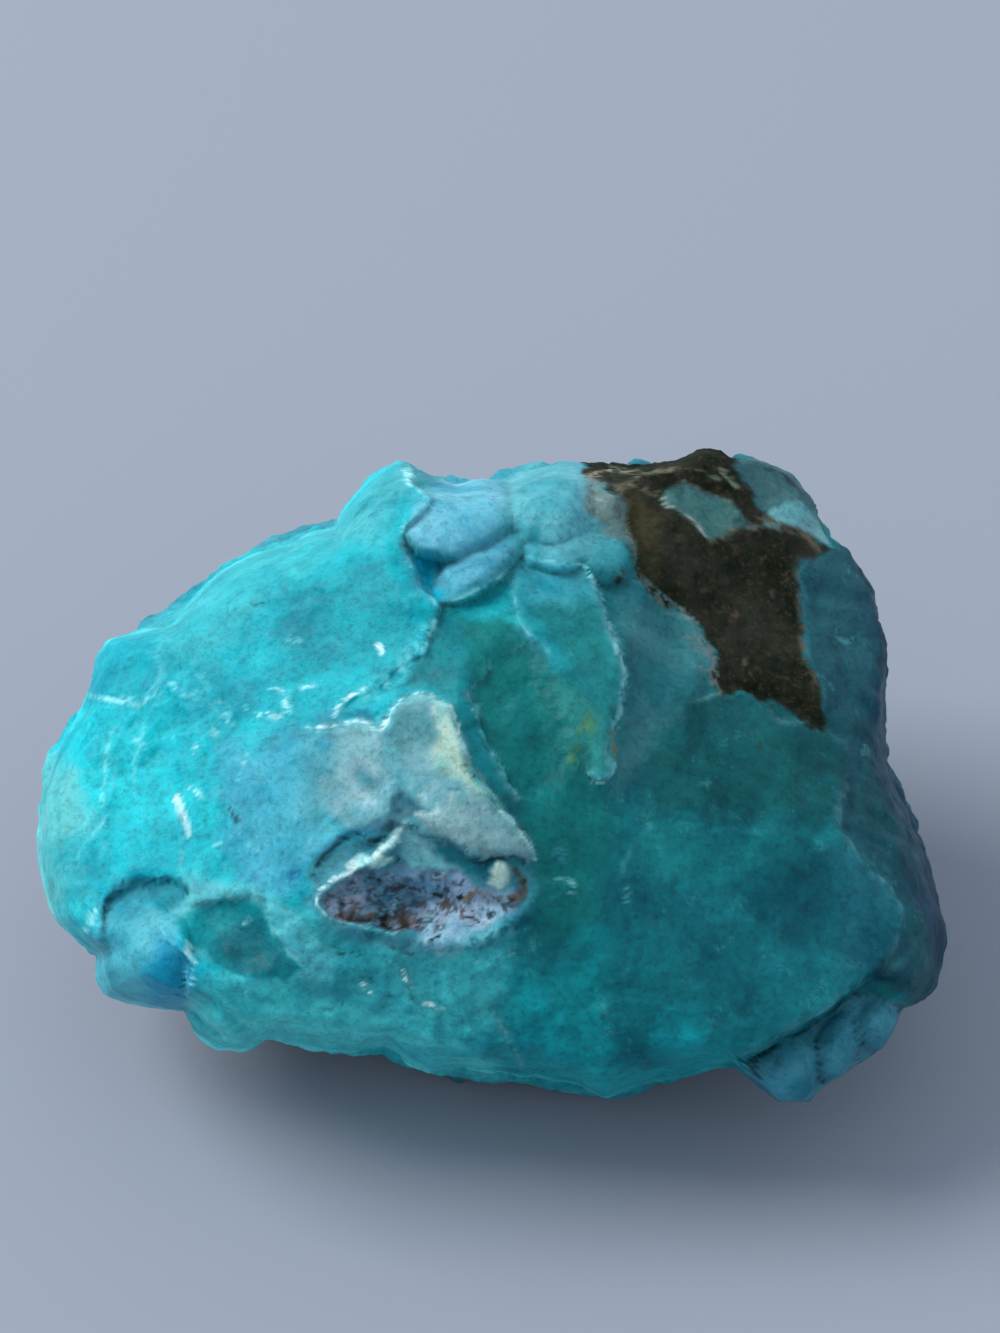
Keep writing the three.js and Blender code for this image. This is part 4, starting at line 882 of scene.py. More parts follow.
    zone((0.01, 0.13, 0.17), 1.4, 0.8, 1, 0.4, (33.5, -7.6), (36, -5.6), (39.4, -9.4), (41.2, -12.8),
         (40.8, -16.4), (38, -19.8), (35, -20), (35.4, -14)),
    # dark upright bands
    zone((0, 0.09, 0.12), 1.6, 1, 1, 0.4, (30, -8.6), (34, -8), (34.6, -14), (33, -19), (30, -18),
         (29.6, -12)),
    # dark streak under them
    zone((0, 0.155, 0.185), 1.8, 1.2, 1, 0.5, (12, -15), (17, -15), (17.5, -22), (16, -29), (12.5, -29),
         (11.6, -22)),
    # light upright streak
    zone((0, 0.255, 0.275), 1.6, 1, 1, 0.5, (8, -15), (11.4, -15), (11.2, -22), (10.6, -28), (8, -28),
         (7, -22)),
    # lobes at the right foot
    zone((0.045, 0.21, 0.28), 0.3, 0.3, 0.5, 0.2, (25.5, -28.6), (27.6, -27.4), (31, -25.4),
         (34.6, -22.8), (36.6, -21.4), (41.6, -22.9), (50, -24), (42, -34), (26, -36)),
    # rough ground round the pitted hollow
    zone((0.05, 0.24, 0.3), 0.8, 0.8, 0.4, 0.9, (-18, -9), (-17, -7), (-12, -5.6), (-9.8, -3.8),
         (-8.4, -3), (-6, -5.6), (-2.6, -7.4), (4.4, -8.6), (4.6, -11.6), (0, -15.6), (-6, -17),
         (-14, -16), (-18.4, -12.4)),
    # grey-teal slope in the upper right of the hollow
    zone((0.18, 0.45, 0.49), 0.6, 0.5, 0.4, 0.6, (-8.7, -4.8), (-6.2, -5.8), (-4.6, -6.6), (-3.4, -7.4),
         (-2.6, -8.6), (-3.8, -9.2), (-7.6, -9), (-9, -7.8), (-9, -6.2)),
    # deep shade under the lip
    zone((0.005, 0.14, 0.19), 0.5, 0.4, 0.3, 0.3, (-5.4, -6.3), (-2.8, -6.9), (-2.2, -7.9), (0.2, -7.6),
         (2.2, -7.6), (3.6, -8), (4.4, -9.2), (3.2, -8.6), (1.4, -8), (0, -8.3), (-0.8, -9.6),
         (-2.4, -9.4), (-4, -8.6), (-5.6, -7.4)),
    # slate floor of the hollow
    zone((0.13, 0.21, 0.3), 0.3, 0.4, 0.1, 0.9, (-16.8, -11.8), (-15.4, -10.6), (-13.8, -9.6),
         (-12, -8.7), (-10.4, -8.8), (-9.2, -8.2), (-7.8, -8.9), (-6, -9), (-3.8, -9.2), (-2.4, -9.8),
         (-1.2, -10.4), (0.6, -10.6), (3, -10.8), (3.2, -11.8), (2.2, -12.8), (1, -13.8), (-0.4, -14.6),
         (-4, -15.4), (-7.6, -15), (-10.2, -14.8), (-12.2, -14.2), (-15, -14), (-16, -13.2)),
    # lavender grey in it
    zone((0.2, 0.33, 0.48), 0.6, 0.5, 0.1, 0.8, (-8.2, -9.2), (-6, -9.2), (-3.8, -9.4), (-2, -10.2),
         (-1, -10.9), (-3, -11.6), (-5.6, -11.2), (-7.6, -11)),
    # lavender white foot
    zone((0.33, 0.47, 0.6), 0.5, 0.6, 0.2, 0.8, (-7.4, -13.2), (-6.4, -11.8), (-4.8, -11.8),
         (-2.6, -12.2), (-0.6, -11.9), (1.4, -12.2), (2.2, -12.8), (1, -13.9), (-0.4, -14.9),
         (-3.8, -16.4), (-6.2, -16.2), (-7.7, -15)),
    # rust and black at its lower left
    zone((0.02, 0.014, 0.014), 0.4, 0.7, 0, 0.9, (-15.4, -12.8), (-13.6, -12.6), (-11.4, -13),
         (-9, -12.9), (-7.6, -13.4), (-7.5, -14.8), (-10.2, -14.7), (-12.4, -14.2), (-15, -13.8)),
    # brown rim on its right
    zone((0.08, 0.075, 0.06), 0.4, 0.3, 0, 0.8, (1.8, -8.8), (2.6, -8.8), (3.7, -9.9), (3.9, -11.2),
         (3.2, -12.1), (2.4, -12), (3, -11), (2.8, -9.8)),
    # cream lump at its end
    zone((0.8, 0.84, 0.7), 0.4, 0.5, 0.2, 1, (-0.4, -9.9), (-0.2, -8.7), (0.6, -8.1), (1.5, -8.4),
         (2, -9.2), (1.8, -10), (0.8, -10.3)),
    # shade under the arch, over the white flow
    zone((0.035, 0.13, 0.18), 0.5, 0.5, 0.4, 0.4, (-12.6, -4.6), (-10.6, -3), (-9.6, -1.9), (-8.5, -1),
         (-7.2, -2), (-6.4, -3.2), (-7.4, -4), (-8.4, -4), (-9.4, -4.4), (-10.4, -4.9)),
    # white flow down to the hollow
    zone((0.66, 0.84, 0.8), 0.3, 0.8, 0.3, 1, (-9.6, -4.4), (-8.9, -4.5), (-9.3, -6.2), (-10, -7.2),
         (-11.6, -8.2), (-13.4, -9.2), (-13.9, -9), (-12.9, -8.1), (-11.4, -7.2), (-10.2, -6)),
]

# The tones of the small marks
WHITE = (0.68, 0.90, 0.92)
FLECK = (0.36, 0.74, 0.77)
BLACK = (0.006, 0.008, 0.010)
RUST = (0.11, 0.062, 0.045)
DEEP = (0.0, 0.16, 0.24)
GREY = (0.045, 0.16, 0.22)
NAVY = (0.004, 0.035, 0.06)

# Cracks, flecks, pits and crisp edges, each over those before it
MARKS = [
    # left side: white cracks and flecks
    mark(0.32, WHITE, (-31.3, -1.8), (-31, -3), (-30.6, -4.2), (-30.3, -5.4), solid=True),
    mark(0.45, FLECK, (-27, 7.6), (-26.2, 6.6), (-26.3, 5.4), (-27.2, 4.8), soft=0.5),
    mark(0.3, (0.12, 0.6, 0.64), (-30.2, 10.4), (-28.8, 10.4), (-28.4, 9.4), (-29.4, 8.6), soft=0.4),
    mark(0.3, FLECK, (-20.6, 8.4), (-20, 7.2), (-21.4, 6.4), (-22.8, 6.6), soft=0.4),
    mark(0.2, FLECK, (-29.6, -0.9), (-28.6, -1.6)),
    mark(0.2, FLECK, (-32, 4.8), (-32.2, 4)),
    mark(0.2, FLECK, (-35.6, 3.9), (-35, 3.5)),
    mark(0.2, FLECK, (-29.3, 3.2), (-29.6, 2.6)),
    mark(0.14, FLECK, (-24.4, 2.6), (-24.9, 1.2), (-24.6, 0.2)),
    mark(0.16, FLECK, (-27.6, -6.8), (-26.4, -6.4), (-25.2, -5.6)),
    mark(0.2, FLECK, (-40, 8.4), (-38, 7.9), (-36.2, 8.2), (-35, 7.6), (-33.4, 8.6)),
    mark(0.16, (0.16, 0.66, 0.68), (-37.6, 5.4), (-38.6, 1.3), (-38.8, -3.7), (-39.9, -5.6), (-41.1, -8)),
    mark(0.14, (0.12, 0.62, 0.66), (-32.6, 8.6), (-34.8, 5.2), (-35.8, 1), (-35.6, -2)),
    mark(0.22, (0.01, 0.09, 0.14), (-26.2, -2.9), (-25.4, -4), solid=True),
    mark(0.14, FLECK, (-25, -4.6), (-24.6, -6), (-23.4, -7.2)),
    mark(0.5, (0.16, 0.52, 0.56), (-19.9, 14.2), (-19.2, 13.8)),
    mark(0.25, BLACK, (-19.5, 13)),
    mark(0.18, DEEP, (-23.4, 17.6), (-22.6, 17.8)),
    mark(0.45, FLECK, (-8.3, 30.8), (-7.9, 30)),
    mark(0.14, FLECK, (-22.5, 9.4), (-19.5, 9), (-17.5, 9.5)),
    mark(0.16, FLECK, (-32, 9.6), (-30.4, 8.4), (-29.6, 8.8)),
    mark(0.2, FLECK, (-24.5, 7.4), (-23.6, 6.2), (-22.6, 6.8)),
    mark(0.35, FLECK, (-40.4, -15.4), (-39.6, -12.6)),
    # white patch: grey clouds, painted shade in the notch under the arch, and its crisp edges
    mark(0.8, (0.04, 0.19, 0.25), (-12.9, 0.5), (-12.3, -0.3), soft=0.8, solid=True),
    mark(0.8, (0.03, 0.28, 0.38), (-17, 3.4), soft=1),
    mark(0.4, (0.28, 0.48, 0.56), (-13.2, -3.2), (-11.4, -2), (-9.8, -0.4), soft=0.6),
    mark(0.15, (0.02, 0.1, 0.13), (-8.5, 4.4), (-8.1, 4.3)),
    mark(0.15, (0.05, 0.16, 0.18), (-4.5, 5.6)),
    mark(0.14, (0.1, 0.08, 0.04), (-2.6, 1.4), (-2.2, 0.6), (-1.6, 0.2)),
    mark(0.1, GREY, (-4.3, -1.3), (-3, -1.2)),
    mark(0.08, GREY, (-5.6, -1.2), (-5, -1.2)),
    mark(0.1, GREY, (-2.4, -2.5)),
    mark(0.1, GREY, (-1.7, -2.3)),
    # pale edge of the shelf, partly a painted highlight
    mark(0.1, (0.52, 0.68, 0.66), (-7.4, -3.5), (-6.2, -3.7), (-5.1, -3.3), (-5.3, -2.6), soft=0.3),
    mark(0.12, (0.46, 0.62, 0.62), (-6.6, -1.4), (-5.9, -2.4), (-5.4, -3.2), soft=0.5),
    # painted shade in the notch under the arch
    mark(0.3, (0.015, 0.06, 0.09), (-10.6, -4.8), (-9.9, -3.6), (-9, -2.9), (-8, -3.2), soft=0.35),
    mark(0.12, (0.15, 0.08, 0.07), (-8.6, -4.1), (-8.2, -4.4)),
    mark(0.18, WHITE, (-18, 5.3), (-16.6, 5.1), (-15, 5.5), (-13.4, 5.9), (-12.2, 5.4), (-11, 5.1),
         (-10.2, 5.9), (-9.8, 6.9), (-9, 8)),
    mark(0.12, (0.5, 0.7, 0.66), (-9, 8), (-7.4, 8.5), (-5.4, 8.1), (-4, 7.3), (-3.2, 5.9), (-2.9, 3.8),
         (-2.2, 2.2)),
    mark(0.14, (0.55, 0.68, 0.6), (-0.6, -0.3), (0.4, -1.9), (1.8, -3.7), (3.2, -5.5), (4.1, -6.9)),
    mark(0.2, WHITE, (-15.8, 6), (-15.4, 7.2), (-14.2, 7.9), (-12.4, 8.9)),
    mark(0.45, (0, 0.22, 0.31), (-14.8, 6.6), (-12.8, 6.4), (-11.2, 5.9), soft=0.4),
    mark(0.15, NAVY, (-11.2, 5.8), (-10.6, 6.1)),
    # hollow: painted shade in its crevice and under its lip, rims, pits and rust
    # painted shade in the crevice along the hollow's upper edge
    mark(0.22, NAVY, (-17.9, -10.2), (-17.4, -8.8), (-16.4, -7.4), (-14.9, -6), (-13.3, -5.4),
         (-12.4, -6.1), (-10.7, -5.8), (-10.1, -5), (-10, -3.9)),
    # painted shadow cast by the lip
    mark(0.2, (0.02, 0.09, 0.12), (-8.4, -4.6), (-6.4, -5.7), (-4.8, -6.3), (-3, -6.8), soft=0.3),
    # painted shade in the crevice under the lip
    mark(0.22, NAVY, (-2.6, -7), (-2.4, -7.9), (-1.2, -8), (0.4, -7.5), (2.2, -7.6), (3.4, -8)),
    mark(0.3, BLACK, (-2.5, -7.2)),
    mark(0.14, WHITE, (-17.3, -12.5), (-16.9, -11.3), (-15.8, -10.2), (-13.6, -9.2)),
    mark(0.1, (0.3, 0.5, 0.48), (-17.2, -12.4), (-16, -13.6), (-14.6, -14.3), (-12.2, -14.8),
         (-9.6, -15.2)),
    mark(0.32, BLACK, (-11.2, -9.9)),
    mark(0.28, BLACK, (-9.3, -8), (-8.9, -8.1)),
    mark(0.2, BLACK, (-7.8, -8)),
    mark(0.25, BLACK, (-12, -11)),
    mark(0.2, RUST, (-12.1, -11.6)),
    mark(0.3, BLACK, (-14.7, -12.1)),
    mark(0.35, BLACK, (-14.8, -13.3), (-13.9, -13.2)),
    mark(0.3, BLACK, (-12.6, -13.6), (-11.2, -13.9), (-9.6, -14.3)),
    mark(0.25, BLACK, (-9.3, -13.2)),
    mark(0.22, RUST, (-12, -13), (-10.6, -13.6), (-8.4, -13.4)),
    mark(0.3, (0.22, 0.08, 0.06), (-8, -14)),
    mark(0.2, (0.15, 0.12, 0.08), (-9, -14.9)),
    mark(0.22, BLACK, (-5.9, -11.2), (-4.7, -11.6), (-4, -11.5)),
    mark(0.35, BLACK, (-3.4, -11.7), (-2.9, -11.5)),
    mark(0.3, (0.17, 0.12, 0.07), (-2.6, -11.6), (-1.6, -11.2), (-0.7, -11.3)),
    mark(0.25, RUST, (-2, -12.1)),
    mark(0.12, BLACK, (-5.2, -12.3), (-5.7, -13.2)),
    mark(0.2, BLACK, (-0.6, -12.6), (-0.2, -12.7)),
    mark(0.15, BLACK, (0.2, -13.6), (0, -13.3)),
    mark(0.15, BLACK, (-2.3, -13.8), (-1.6, -13.7), (-0.9, -14.2)),
    mark(0.15, BLACK, (-6.6, -14.3)),
    mark(0.35, (0.25, 0.07, 0.05), (2.6, -11.3)),
    mark(0.3, BLACK, (3.4, -10.2)),
    mark(0.2, BLACK, (2.3, -11.9)),
    mark(0.6, (0.16, 0.42, 0.48), (-7, -16.2), (-4, -17), (-1, -15.8), (1.6, -14.6), soft=0.8),
    mark(0.2, BLACK, (-6.3, -16.3), (-5.2, -15.8)),
    mark(0.18, BLACK, (-9.9, -16.5), (-8.8, -17), (-7.5, -17.1)),
    mark(0.2, (0.01, 0.05, 0.06), (-15.2, -17.4), (-14.2, -17.5), (-13.2, -17.1), (-12.9, -17.6)),
    mark(0.25, BLACK, (-11.7, -20), (-11.4, -20.3)),
    mark(0.15, (0.3, 0.6, 0.62), (4.4, -7.7), (5.2, -8.2)),
    mark(0.9, (0, 0.24, 0.42), (-19.5, -9.4), soft=0.7),
    # low centre
    mark(0.2, WHITE, (-8.6, -19), (-8.2, -20.2), (-7.4, -21.8)),
    mark(0.18, WHITE, (-13.5, -20), (-12, -21.3)),
    mark(0.16, WHITE, (-6.4, -22.4), (-4.6, -22.9)),
    mark(0.12, (0.1, 0.4, 0.44), (-1.6, -18.2), (0, -17.6), (1.6, -17.5), (2.4, -17.2)),
    # painted shade along the foot of the left sheet's lower edge
    mark(0.12, (0, 0.09, 0.12), (-38.7, -14.4), (-38.6, -12.6), (-37.4, -11), (-36.2, -10.2),
         (-34.6, -10.4), (-33.6, -9.8), (-30.8, -9.9), (-30.2, -11.6)),
    mark(0.13, (0.16, 0.56, 0.58), (-30.6, -12.9), (-29.6, -12.3), (-27.2, -11.8), (-25.2, -11.6),
         (-23.4, -11.2), (-22.1, -12.8), (-21.8, -14.8), (-20.2, -17.2), (-18.8, -18.8)),
    mark(0.12, (0.16, 0.56, 0.58), (-23.8, -13.7), (-25, -14.6)),
    mark(0.24, WHITE, (-30.6, -17), (-30.2, -17.9), (-29.7, -18.2), solid=True),
    mark(0.2, (0.4, 0.78, 0.8), (-30.4, -16.4), (-29.9, -19), (-30.2, -21)),
    # shell and basin
    mark(0.7, (0.13, 0.26, 0.1), (9.6, 5.8), (9.4, 5.2), soft=0.9),
    mark(0.6, (0.1, 0.24, 0.1), (8.6, 2.8), (8.4, 2), soft=0.8),
    mark(0.2, (0.3, 0.2, 0.07), (12.1, 4.6), (12.2, 3.4), (12.4, 2.4)),
    mark(0.25, (0.4, 0.72, 0.7), (10, 0.2), (11.4, 0), (12.2, 0.8)),
    mark(0.7, (0.06, 0.32, 0.36), (7.2, -7.5), soft=0.6),
    mark(0.2, (0.12, 0.42, 0.45), (6.6, -10.2), (8.3, -10.3), (8, -11.5)),
    mark(0.15, (0.12, 0.42, 0.45), (13.2, -10), (13.6, -11), (13.5, -12.2)),
    mark(0.14, (0.3, 0.66, 0.7), (9.7, 21.2), (10.6, 19.5), (11.4, 16.8), (12.2, 14.4), (12.9, 12.8),
         (13.6, 11.3), (13.7, 9.3), (12.9, 7.2), (12.5, 5.6), (12.2, 3.8)),
    mark(0.1, (0.1, 0.5, 0.52), (-2.1, 7.9), (-1.4, 6.7), (-0.9, 5.2), (-0.1, 3.1), (1.3, 1.1)),
    # edge of the left sheet: a pale band, painted glow of its thin translucent fringe, and a bright line
    # along the edge, partly a painted highlight
    mark(0.7, (0.1, 0.55, 0.6), (-6.6, 14.6), (-7.2, 12.8), (-9.2, 10.8), (-12.2, 8.4), soft=0.8),
    mark(0.14, (0.25, 0.72, 0.76), (-7.4, 29.4), (-5.8, 28.4), (-6.3, 27.3), (-8.4, 25.4), (-8.5, 23.7),
         (-7.6, 21.4), (-6.9, 19.2), (-5.1, 17.3), (-5.6, 15.3), (-6.3, 13.5), (-8.4, 11.7),
         (-11.6, 8.8)),
    mark(0.3, WHITE, (-11.2, 13.2), (-10.9, 12.5)),
    # recess and the rind round the brown patch
    mark(0.55, (0.03, 0.025, 0.015), (12.5, 20)),
    mark(0.35, RUST, (13.1, 20.6)),
    mark(0.3, BLACK, (11.6, 19.2)),
    mark(0.3, (0.17, 0.22, 0.2), (15.4, 20.4), (16.8, 19), (19, 17.2), (20.8, 15.2), (21.8, 12.6)),
    mark(0.5, (0.14, 0.17, 0.17), (20.2, 14.4), (21.4, 11.6), soft=0.8),
    mark(0.16, (0.01, 0.05, 0.07), (20, 8), (21.6, 8.2), (23.2, 8.6)),
    mark(0.12, (0.3, 0.36, 0.33), (17.4, 28.9), (17.6, 27.5), (18.9, 27.2), (20.6, 25.5), (22, 24.3)),
    mark(0.14, (0.12, 0.13, 0.1), (17.5, 29), (19.4, 30.1), (21.6, 28.8), (24.2, 27.6)),
    mark(0.3, (0.13, 0.115, 0.085), (22.2, 24), (24.4, 24.6), (26.4, 25.1), (28.6, 25.4), (30.6, 24.8),
         soft=0.3),
    mark(0.22, (0.2, 0.2, 0.15), (12.7, 26.4), (13.7, 24.9), (14.5, 23.4), (14.7, 21.4), (15.2, 20),
         (16.6, 18.6), (18, 17.1)),
    mark(0.25, (0.22, 0.22, 0.19), (19, 16.6), (20.6, 15.2), (21.7, 13.6), (22.2, 11.8), (22.3, 10),
         (23.2, 8.8)),
    mark(0.25, (0.14, 0.12, 0.08), (13, 30.6), (15.6, 30.8), (18.2, 31), (21, 30.9), (22.8, 30.2)),
    mark(0.3, (0.12, 0.1, 0.06), (12.6, 29.2), (14.6, 29.6), (16.6, 29), soft=0.3),
    mark(0.25, (0.11, 0.085, 0.06), (27, 26.4), (29.2, 25.6), (31.4, 24.4), (33, 23.2)),
    mark(0.25, (0.24, 0.22, 0.16), (9.6, 30.4), (12, 31), (14.4, 30.4)),
    mark(0.5, (0.26, 0.31, 0.29), (10.8, 27.8), soft=0.7),
    mark(0.25, (0.3, 0.26, 0.18), (23.2, 31), (24.6, 29.4)),
    mark(0.35, (0.1, 0.055, 0.035), (23.6, 17.2), (24.4, 16.4)),
    mark(0.3, (0.14, 0.12, 0.1), (28.2, 18.6)),
    mark(0.25, (0.14, 0.12, 0.1), (25.6, 11.8)),
    mark(0.22, (0.09, 0.065, 0.045), (30.8, 21), (31, 17), (31.4, 13), (32.6, 9.4)),
    mark(0.35, (0.02, 0.03, 0.03), (24.4, 32.6), (27, 31.9), (29.6, 30.4), (31.4, 28.6)),
    mark(0.3, (0.01, 0.05, 0.04), (26.5, 3.8), (26.9, 3.3)),
    # painted shade in the creases round the lobes at the right foot
    mark(0.25, NAVY, (25.3, -28.4), (27.2, -27.4), (29, -26.3), (31, -25.1), (33.6, -23.5), (35.2, -22.1),
         (36.6, -21.2), soft=0.3),
    mark(0.2, NAVY, (33.1, -30.2), (32.7, -28), (32.4, -25.8), soft=0.3),
    mark(0.15, NAVY, (36.8, -28.2), (36.8, -26.2), (36.4, -23.8), soft=0.3),
    mark(0.2, NAVY, (36.6, -21.3), (38.6, -21.7), (40.4, -22.6), (41.4, -22.9), soft=0.3),
]

# The pitted floor of the hollow under the raised patch
HOLLOW_FLOOR = [
    (-16.8, -11.8), (-15.4, -10.6), (-12, -8.7), (-7.8, -9), (-3.8, -9.2), (-1.2, -10.4), (3, -10.8),
    (3.2, -11.8), (1, -13.6), (-0.4, -14.6), (-4, -15.4), (-7.6, -15), (-12.2, -14.2), (-15, -14),
    (-16, -13.2),
]

# Tones scattered over the floor of the hollow: colour, size of the blots, noise key and how rare they are.
HOLLOW_TONES = [
    ((0.24, 0.29, 0.40), 0.9, 201, 0.05),
    ((0.020, 0.028, 0.045), 0.7, 211, 0.15),
    ((0.10, 0.050, 0.040), 0.8, 221, 0.30),
]


# Painting

# added near the outline as a painted glow
PAINTED_EDGE_GLOW = (0.03, 0.05, 0.05)
DARK_CRUST = (0.030, 0.22, 0.29)
CRUST_CLOUD = (0.02, 0.14, 0.16)  # what the palest crust has more than the darkest
MATRIX = (0.10, 0.075, 0.05)


def from_line(line, u, v):
    """Distance from each (u, v) to a line, or to a single point."""
    nearest = np.hypot(u - line[0][0], v - line[0][1])
    for (au, av), (bu, bv) in zip(line, line[1:]):
        du, dv = bu - au, bv - av
        t = np.clip(((u - au) * du + (v - av) * dv) / (du * du + dv * dv), 0, 1)
        nearest = np.minimum(nearest, np.hypot(u - au - t * du, v - av - t * dv))
    return nearest


def inside_outline(outline, u, v):
    """Distance from each (u, v) to an outline, positive inside it."""
    loop = [*outline, outline[0]]
    inside = np.zeros(len(u), bool)
    for (au, av), (bu, bv) in zip(loop, loop[1:]):
        if av != bv:
            crossing = (av > v) != (bv > v)
            inside ^= crossing & (u < au + (v - av) * (bu - au) / (bv - av))
    nearest = from_line(loop, u, v)
    return np.where(inside, nearest, -nearest)


def wandering(points, key):
    """How far a zone's border strays at each point, in three sizes of wave."""
    wide, middle, fine = (smooth_noise(points, size, key + k) for k, size in enumerate((3.2, 1.2, 0.5)))
    return wide + 0.5 * middle + 0.3 * fine


def blend(values, target, weight):
    """Moves values towards a target, by a weight from 0 to 1 at each point."""
    values += (np.array(target) - values) * (weight if values.ndim == 1 else weight[:, None])


def fleck_hollow(colour, points, u, v, front):
    """Scatters its tones over the floor of the hollow."""
    pitted = smoothstep(-0.4, 0.6, inside_outline(HOLLOW_FLOOR, u, v)) * front
    for tone, size, key, start in HOLLOW_TONES:
        weight = smoothstep(start, start + 0.5, rough_noise(points, size, key, 3, 0.7)) * pitted * 0.8
        blend(colour, tone, weight)


def draw_marks(colour, points, u, v, front):
    """Draws the small marks over the face."""
    broken = smoothstep(-0.45, 0.15, rough_noise(points, 0.7, 41, 3, 0.7))
    for mark in MARKS:
        distance = from_line(mark["line"], u, v)
        weight = smoothstep(mark["width"] + mark["soft"], mark["width"] - mark["soft"], distance) * front
        blend(colour, mark["colour"], weight if mark["solid"] else weight * broken)


def paint(points, facts):
    """Colour of each vertex, how waxy, how brown and how chipped it is there."""
    u, v, c = facts["u"], facts["v"], facts["c"]
    colour = np.tile(np.array(TEAL), (len(u), 1))
    wax = np.full(len(u), 1.0)
    brown = np.zeros(len(u))
    chip = np.full(len(u), 0.5)
    wander_u, wander_v = wandering(points, 31), wandering(points, 34)
    for zone in ZONES:
        near = inside_outline(zone["outline"], u + wander_u * zone["wander"], v + wander_v * zone["wander"])
        weight = smoothstep(-zone["soft"], zone["soft"], near)
        blend(colour, zone["colour"], weight)
        blend(wax, zone["wax"], weight)
        blend(chip, zone["chip"], weight)
        brown = brown * (1 - weight) + (weight if zone["wax"] == 0 else 0)
    front = smoothstep(-0.05, 0.05, c)
    fleck_hollow(colour, points, u + wander_u * 0.8, v + wander_v * 0.8, front)
    draw_marks(colour, points, u + wander_u * 0.3, v + wander_v * 0.3, front)
    # painted glow: colours near the outline are lightened, as if thin edges let light through from behind
    glow = smoothstep(0.14, 0.02, c) * front * smoothstep(0.5, 0.9, wax)
    colour += (colour * 0.35 + PAINTED_EDGE_GLOW) * glow[:, None]
    # the back: blue-grey crust with paler patches and veins of brown matrix
    behind = smoothstep(-0.02, -0.22, c)
    cloud = 0.5 + 0.5 * rough_noise(points, 14, 51, 3)
    crust = np.array(DARK_CRUST) + np.outer(cloud, CRUST_CLOUD)
    matrix = smoothstep(0.25, 0.45, rough_noise(points, 17, 61, 4)) * (1 - facts["patches"] * 0.6)
    matrix *= smoothstep(-0.15, -0.4, c)
    blend(crust, MATRIX, matrix)
    blend(colour, crust, behind)
    blend(wax, 0.5 * (1 - matrix), behind)
    blend(chip, 0.6, behind)
    brown = brown * (1 - behind) + behind * matrix
    return colour, wax, brown, chip


# Fine relief: the size across of each kind of lump, plane and grain
KNOBS = 2.3
BEADS = 1.0
CHIPS = (4.2, 1.7)
SKIRT_PLANES = 6.0
ROUGHNESS = 1.6
MATRIX_GRAIN = 1.3


def dress(points, normals, facts, wax, brown, chip):
    """Fine relief, in millimetres along the normals."""
    c = facts["c"]
    crusty = np.clip(facts["grown"] + (1 - smoothstep(0.2, 0.7, wax)) * (1 - brown) * 0.5, 0, 1)
    distance, chance = cells(points, KNOBS, 71)
    knobs = np.sqrt(np.maximum(0, 1 - (distance / 0.85) ** 2)) * (0.5 + 0.5 * chance)
    distance, chance = cells(points, BEADS, 75)
    beads = np.sqrt(np.maximum(0, 1 - (distance / 0.85) ** 2)) * chance
    height = crusty * (0.30 * knobs + 0.12 * beads - 0.2)
    height += chip * (0.42 * facets(points, CHIPS[0], 101) + 0.20 * facets(points, CHIPS[1], 111))
    skirt = smoothstep(0.12, -0.1, c)
    height += skirt * 0.5 * facets(points, SKIRT_PLANES, 121)
    height += (0.04 + 0.16 * skirt + 0.06 * chip) * rough_noise(points, ROUGHNESS, 81, 3, 0.6)
    height += brown * (0.14 * rough_noise(points, MATRIX_GRAIN, 91, 3, 0.6) - 0.1)
    return points + normals * height[:, None]


def make_stone():
    """The whole specimen as one mesh, with its colours and facts as attributes."""
    directions, quads = cube_directions(GRID)
    points, facts = shape_stone(directions)
    colour, wax, brown, chip = paint(points, facts)
    points = dress(points, vertex_normals(points, quads), facts, wax, brown, chip)
    placed = to_frame(points)
    placed[:, 2] = np.maximum(placed[:, 2], 0)
    mesh = bpy.data.meshes.new("stone")
    mesh.from_pydata((placed * MM).tolist(), [], quads.tolist())
    mesh.update()
    mesh.shade_smooth()
    tint = mesh.attributes.new("tint", "FLOAT_COLOR", "POINT")
    opaque = np.concatenate([colour, np.ones((len(colour), 1))], 1)
    tint.data.foreach_set("color", opaque.astype(np.float32).ravel())
    facts = {"wax": wax, "brown": brown, "chip": chip, "rim": facts["rim"], "crevice": facts["crevice"]}
    for name, values in facts.items():
        attribute = mesh.attributes.new(name, "FLOAT", "POINT")
        attribute.data.foreach_set("value", values.astype(np.float32))
    stone = bpy.data.objects.new("stone", mesh)
    bpy.context.scene.collection.objects.link(stone)
    return stone


# Materials

# What is mixed into the stone's own tints
FROST = (0.14, 0.60, 0.64)
# pale rim tint, partly a painted highlight along the ledge edges
PALE_RIM_AND_HIGHLIGHT = (0.26, 0.62, 0.65)
GRIT = (0.060, 0.043, 0.024)
DEPTH_OF_GLOW = 0.0016  # metres that light spreads inside the stone
PAPER = (0.27, 0.30, 0.36)


def add_node(tree, kind, **settings):
    """A new node. Each setting is one of its sockets or else one of its own properties."""
    node = tree.nodes.new(kind)
    for name, value in settings.items():
        if name in node.inputs:
            node.inputs[name].default_value = value
        else:
            setattr(node, name, value)
    return node


